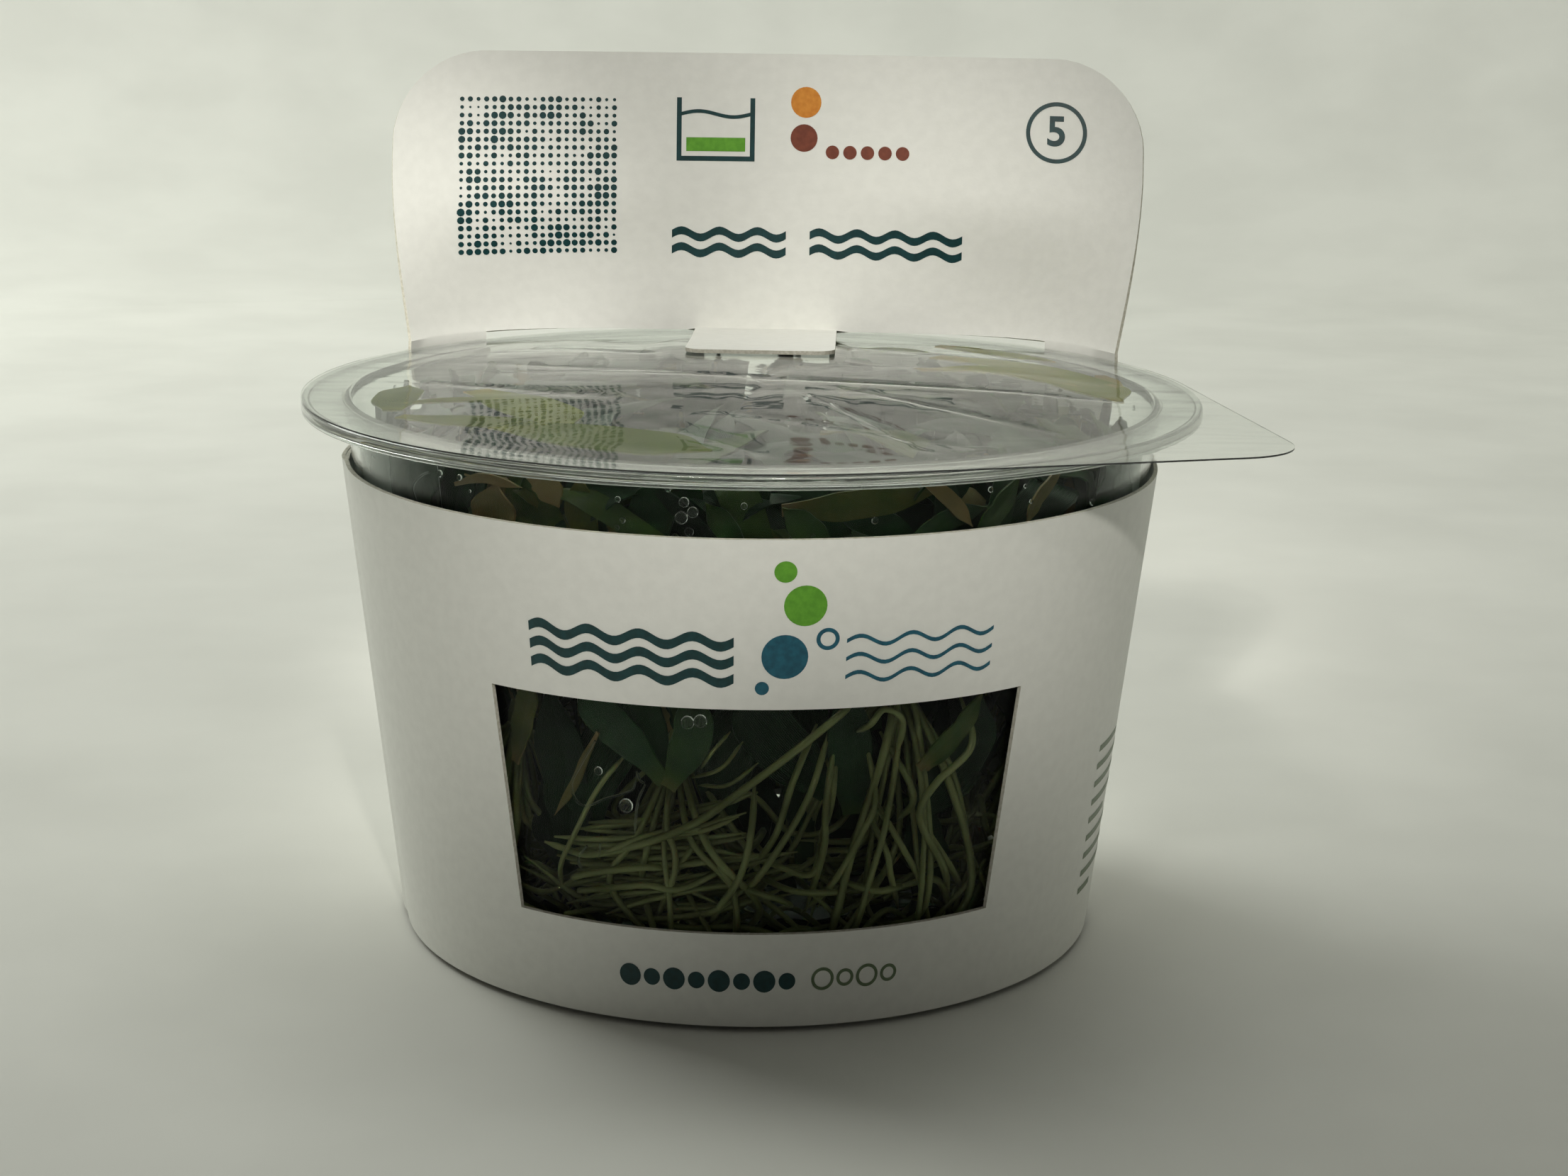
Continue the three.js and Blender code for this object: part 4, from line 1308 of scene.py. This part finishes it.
# The leaves that cling to the film: half width, tone, and x and y along them in millimetres
LID_LEAVES = [
    (2.5, 0.38, [(-38.2, -17), (-38.8, -10), (-38.4, -1)]),
    (1.2, 0.5, [(-38, -12.5), (-33, -11.5), (-27, -12.5)]),
    (3.6, 0.5, [(-30.5, -6), (-26, -13), (-22, -20), (-18.5, -28)]),
    (2.4, 0.4, [(-37, -20.5), (-30, -23.5), (-21, -27)]),
    (4.8, 0.34, [(-26, -26), (-15, -33), (-4, -38.5)]),
    (4.2, 0.6, [(22, 24), (31, 18), (37.5, 6), (40.8, -6)]),
    (3.0, 0.66, [(19, 11), (29, 13), (37, 3)]),
    (1.9, 0.25, [(13, 33), (17.5, 31.5), (22, 27.5)]),
    (1.9, 0.6, [(23, 35.5), (29, 31.5), (36.5, 23.5)]),
    (1.4, 0.3, [(9.3, 37), (10.4, 33), (11.6, 28)]),
    (1.6, 0.9, [(40.6, 13), (40.8, 8), (40.4, 2.5)]),
]

# The bubbles at the front, in the neck and in the window: azimuth, height and size
BUBBLES = [
    (-9, 55, 0.7), (-8, 53.6, 0.5), (-7.5, 55.6, 0.6), (-9.8, 53, 0.45), (-8.6, 56.6, 0.55),
    (-8.6, 33.6, 0.75), (-6.8, 33.8, 0.75), (-18, 24, 0.8), (-22, 27.5, 0.5),
]

# Thin lines of water that are held between the wall and the plants: azimuth and height along them
WATER_LINES = [
    [
        (-22.2, 30.8), (-24.8, 27.8), (-26.4, 25.7), (-25.8, 23.9), (-24, 23.5),
        (-21, 24.6), (-17.2, 25.7), (-16.3, 26.8), (-16.1, 28),
    ],
    [(-16.1, 28), (-15.6, 27), (-14.8, 26.7)],
    [(-14.8, 26.7), (-16, 24.8), (-16.5, 22.6), (-16.7, 21)],
    [(-24.5, 19), (-26, 17.5), (-25.6, 16)],
    [(-22.3, 19.5), (-22.6, 18)],
    [(-59.8, 56.8), (-59.6, 55), (-59.2, 53.6)],
    [(-52, 53), (-52.5, 54.5), (-50, 56), (-46.5, 57)],
    [(-25, 54.5), (-24.5, 53.5), (-24, 52.6)],
]


def placed_leaves(name, leaves):
    shape = bmesh.new()
    for half_width, depth, tone, line in leaves:
        controls = [at_wall(azimuth, height, depth) for azimuth, height in line]
        outward = at_wall(line[1][0], 50, 0) * Vector((1, 1, 0))
        aside = outward.cross(controls[-1] - controls[0])
        add_leaf(shape, smooth_path(controls, 22), half_width * MM, aside, tone, 0.2, 0.15)
    show_leaves(name, shape)


def lid_leaves(sheet):
    """Leaves that cling to the film's wet underside, so that their upper faces lie in it"""
    def cling(point):
        draw_in(point, cup_inner(FLANGE_TOP) - LEAF_TO_LID_EDGE)
        found = sheet.ray_cast(Vector((point.x, point.y, 0)), Vector((0, 0, 1)))[0]
        point.z = found.z - FILM_THICK * 0.65

    shape = bmesh.new()
    for half_width, tone, line in LID_LEAVES:
        controls = [Vector((x * MM, y * MM, FLANGE_TOP)) for x, y in line]
        aside = Vector((0, 0, 1)).cross(controls[-1] - controls[0])
        add_leaf(shape, smooth_path(controls, 22), half_width * MM, aside, tone, hold=cling)
    # Their paler material is partly the older leaves' own colour and partly painted light from the film above
    # them
    show_leaves("lid_leaves", shape, LIT_FILM_LEAF)


def water_lines():
    paths = []
    for line in WATER_LINES:
        controls = [at_wall(azimuth, height, CUP_WALL / MM + 0.16) for azimuth, height in line]
        paths.append(smooth_path(controls, 8 * (len(line) - 1)))
    lines = tubes("water_lines", paths, [0.14 * MM] * len(paths), sides=2)
    show("water_lines", lines, [WATER], sharp=80)


def dark_leaves(draw):
    """Broad leaves that fill the middle of the cup, where little light comes"""
    shape = bmesh.new()
    for _ in range(MIDDLE_LEAVES):
        azimuth = draw(0, 360)
        depth = draw(9, 26)
        low = draw(3, 34)
        lean = draw(-30, 30)
        top = min(low + draw(14, 26), 55)
        controls = [
            at_wall(azimuth, low, depth),
            at_wall(azimuth + lean * 0.3, blend(low, top, 0.4), depth + draw(-3, 2)),
            at_wall(azimuth + lean * 0.7, blend(low, top, 0.75), depth + draw(-3, 3)),
            at_wall(azimuth + lean, top, depth + draw(-2, 5)),
        ]
        half_width = draw(2.2, 4.2) * MM
        tone = draw(0, 0.25)
        twist = draw(-0.8, 0.8)
        add_leaf(shape, smooth_path(controls, 20), half_width, side_of(azimuth), tone, twist, 0.1)
    # Dead leaves lie on the cup's floor
    for _ in range(DEAD_LEAVES):
        height = draw(1.7, 3.6)
        spot = at_wall(draw(0, 360), height, draw(3, 36))
        way = Vector((draw(-1, 1), draw(-1, 1), 0)).normalized()
        controls = [spot + way * (share * 24 - 12) * MM for share in (0, 0.33, 0.67, 1)]
        aside = Vector((-way.y, way.x, 0))
        half_width = draw(2.6, 4) * MM
        add_leaf(shape, smooth_path(controls, 20), half_width, aside, draw(0, 0.2), 0, 0.05)
    show_leaves("dark_leaves", shape)


def loose_roots(draws):
    """Long roots that wind round the lower cup, nearly level, among the plantlets' own winding roots"""
    paths = []
    radii = []
    for _ in range(LOOSE_ROOTS):
        start = draws.uniform(0, 360)
        sweep = draws.uniform(20, 55) * draws.choice((-1, 1))
        low = draws.uniform(2.5, 20)
        depth = draws.uniform(2.6, 14)
        controls = []
        for step in range(5):
            share = step / 4
            height = clamp(low + draws.uniform(-3, 3) + 9 * (share - 0.5) * draws.uniform(-1, 1), 2, 26)
            controls.append(at_wall(start + sweep * share, height, depth + draws.uniform(-1, 1.5)))
        paths.append(smooth_path(controls, 32))
        radii.append(draws.uniform(0.28, 0.42) * MM)
    show_roots("loose_roots", tubes("loose_roots", paths, radii))


def crowded_leaves(draw):
    """Leaves that crowd under the film and against the neck, between the plantlets"""
    shape = bmesh.new()
    for i in range(CEILING_LEAVES):
        azimuth = draw(0, 360)
        inward = draw(8, 34)
        turn = draw(-50, 50)
        half_width = draw(1.6, 3.4) * MM
        start = at_wall(azimuth, draw(48, 57), draw(2, 6))
        controls = [start]
        for step in range(1, 5):
            share = step / 4
            spot = at_wall(azimuth + turn * share, 59, 2.5 + inward * share)
            ceiling = film_under(spot.x, spot.y) - draw(1.4, 4) * MM
            controls.append(Vector((spot.x, spot.y, blend(start.z, ceiling, smooth(share, 0, 0.6)))))
        flat = side_of(azimuth + turn * 0.5)
        tone = draw(0.02, 0.36) if i % 3 else draw(0.4, 0.66)
        add_leaf(shape, smooth_path(controls, 20), half_width, flat, tone, draw(-0.5, 0.5), 0.12)
    for i in range(NECK_SIDE_LEAVES):
        azimuth = draw(0, 360)
        slope = draw(-22, 22)
        half_width = draw(1.2, 2.6) * MM
        low = draw(36, 46)
        depth = draw(1.7, 5)
        controls = [
            at_wall(azimuth, low, depth + 3),
            at_wall(azimuth + slope * 0.4, blend(low, 56, 0.5), depth + 0.8),
            at_wall(azimuth + slope, 56 + draw(-2, 1.5), depth),
            at_wall(azimuth + slope * 1.5, 57 + draw(-3, 0.5), depth + 3),
        ]
        flat = side_of(azimuth)
        tone = draw(0.05, 0.45) if i % 4 else draw(0.5, 0.95)
        add_leaf(shape, smooth_path(controls, 20), half_width, flat, tone, draw(-0.7, 0.7))
    show_leaves("crowded_leaves", shape)


def water_drops(draw):
    """Drops that hang on the neck's inner face, and small bubbles held behind the window"""
    shape = bmesh.new()
    places = []
    for _ in range(HANGING_DROPS):
        size = draw(0.12, 0.42)
        places.append((draw(-180, 180), draw(50, 59), size))
    for azimuth, height, size in places + BUBBLES:
        made = bmesh.ops.create_icosphere(shape, subdivisions=2, radius=size * MM)["verts"]
        centre = at_wall(azimuth, height, CUP_WALL / MM + size * 0.55)
        out = Vector((centre.x, centre.y, 0)).normalized()
        for vert in made:
            vert.co = centre + vert.co - out * vert.co.dot(out) * 0.4
    show("water_drops", shape, [WATER], sharp=80)


def neck_mist():
    """Mist on the neck's inner face, thickest at both sides of the front"""
    for name, clear_end, thick_end in (("neck_mist_left", -46, -80), ("neck_mist_right", 54, 84)):
        shape = bmesh.new()
        density = shape.verts.layers.float.new("mist")
        made = bmesh.ops.create_grid(shape, x_segments=34, y_segments=8, size=0.5)["verts"]
        for vert in made:
            share = vert.co.x + 0.5
            height = blend(MIST_LOW, MIST_HIGH, vert.co.y + 0.5)
            vert[density] = smooth(share, 0, 0.55)
            vert.co = at_wall(blend(clear_end, thick_end, share), height, CUP_WALL / MM + 0.1)
        sheet = show(name, shape, [MIST])
        thicken(sheet, MIST_THICK, even=False)


def plants(sheet):
    solid = SolidDraws(SOLID_SEED).uniform
    extra = Random(7).uniform
    for index in range(PLANTLETS):
        plantlet(index, solid, extra)
    window_roots(Random(3).uniform)
    placed_leaves("window_leaves", WINDOW_LEAVES)
    placed_leaves("neck_leaves", NECK_LEAVES)
    lid_leaves(sheet)
    loose_roots(Random(21))
    dark_leaves(Random(13).uniform)
    crowded_leaves(Random(4).uniform)
    water_drops(Random(9).uniform)
    water_lines()
    neck_mist()


# Camera, floor and light


def camera():
    data = bpy.data.cameras.new("camera")
    data.lens = CAMERA_LENS
    data.sensor_width = 36
    data.clip_start = 0.01
    data.clip_end = 20
    level = Vector((math.cos(CAMERA_YAW), -math.sin(CAMERA_YAW), 0))
    forward = Vector((
        math.sin(CAMERA_YAW) * math.cos(CAMERA_PITCH),
        math.cos(CAMERA_YAW) * math.cos(CAMERA_PITCH),
        -math.sin(CAMERA_PITCH),
    ))
    upward = level.cross(forward)
    right = level * math.cos(CAMERA_ROLL) - upward * math.sin(CAMERA_ROLL)
    above = level * math.sin(CAMERA_ROLL) + upward * math.cos(CAMERA_ROLL)
    placed = Matrix((right, above, -forward)).transposed().to_4x4()
    placed.translation = CAMERA_PLACE
    bpy.context.scene.camera = put("camera", data)
    bpy.context.scene.camera.matrix_world = placed


def show_stage(name, shape, material):
    mesh = mesh_from(name, shape)
    mesh.materials.append(material)
    mesh.shade_smooth()
    board = put(name, mesh)


def stage():
    """A large pale floor, and a pale sweep that rises from it in a half circle behind the object"""
    paint = studio_floor()
    ground = bmesh.new()
    bmesh.ops.create_grid(ground, x_segments=1, y_segments=1, size=12)
    bmesh.ops.translate(ground, verts=ground.verts, vec=(0, 0, -0.05 * MM))
    show_stage("studio_floor", ground, paint)
    sweep = bmesh.new()
    outline = [(SWEEP_START, 0)]
    for degrees in range(5, 91, 5):
        angle = math.radians(degrees)
        radius = SWEEP_START + SWEEP_ROUND * math.sin(angle)
        outline.append((radius, SWEEP_ROUND * (1 - math.cos(angle))))
    outline.append((SWEEP_START + SWEEP_ROUND, SWEEP_HEIGHT))
    section = add_chain(sweep, [(radius, 0, height - 0.04 * MM) for radius, height in outline])
    start = Matrix.Rotation(math.radians(-20), 3, "Z")
    bmesh.ops.rotate(sweep, verts=sweep.verts, cent=(0, 0, 0), matrix=start)
    spin(sweep, section, 88, degrees=220)
    show_stage("studio_sweep", sweep, paint)


def add_light(name, kind, place, target, energy, colour, **settings):
    data = bpy.data.lights.new(name, kind)
    data.energy = energy
    data.color = linear(colour)[:3]
    for setting, value in settings.items():
        setattr(data, setting, value)
    lamp = put(name, data)
    lamp.location = place
    lamp.rotation_euler = (Vector(target) - Vector(place)).to_track_quat("-Z", "Y").to_euler()


def light():
    """A dim pale room, a softbox behind at the left, a wash on the wall behind, and spots from the front"""
    world = bpy.data.worlds.new("pale_room")
    world.use_nodes = True
    background = world.node_tree.nodes["Background"]
    background.inputs["Color"].default_value = linear("fffdf3")
    background.inputs["Strength"].default_value = ROOM_STRENGTH
    bpy.context.scene.world = world
    areas = (
        ("softbox_behind", (-0.55, 0.5, 0.5), (0, 0.05, 0.03), SOFTBOX_ENERGY, 0.4),
        ("wall_wash", (0, 0.3, 0.95), (0, 0.9, 0.25), WALL_WASH_ENERGY, 0.7),
    )
    for name, place, target, energy, size in areas:
        add_light(name, "AREA", place, target, energy, "fcfff8", shape="SQUARE", size=size)
    # Soft spots from the front: the whole header, the left and right of its foot, and the sleeve's upper part
    high = (-0.12, -0.4, 0.42)
    front = (0.05, -0.45, 0.3)
    spots = (
        ("header_spot", high, (0.006, 0.04, 0.084), HEADER_SPOT_ENERGY, 14, 0.05),
        ("header_left_spot", high, (-0.042, 0.035, 0.068), LEFT_SPOT_ENERGY, 7, 0.012),
        ("header_right_spot", high, (0.026, 0.038, 0.066), RIGHT_SPOT_ENERGY, 7, 0.012),
        ("sleeve_left_spot", front, (-0.016, -0.038, 0.05), FRONT_SPOT_ENERGY, 7.4, 0.012),
        ("sleeve_right_spot", front, (0.024, -0.038, 0.056), FRONT_SPOT_ENERGY, 7.4, 0.012),
    )
    for name, place, target, energy, cone, size in spots:
        add_light(
            name, "SPOT", place, target, energy, "fffdf4",
            spot_size=math.radians(cone), spot_blend=1, shadow_soft_size=size,
        )
    bpy.context.scene.view_settings.view_transform = "Standard"


camera()
cup()
film_sheet = film_lid()
card_sleeve()
print_sleeve()
print_header()
plants(film_sheet)
stage()
light()
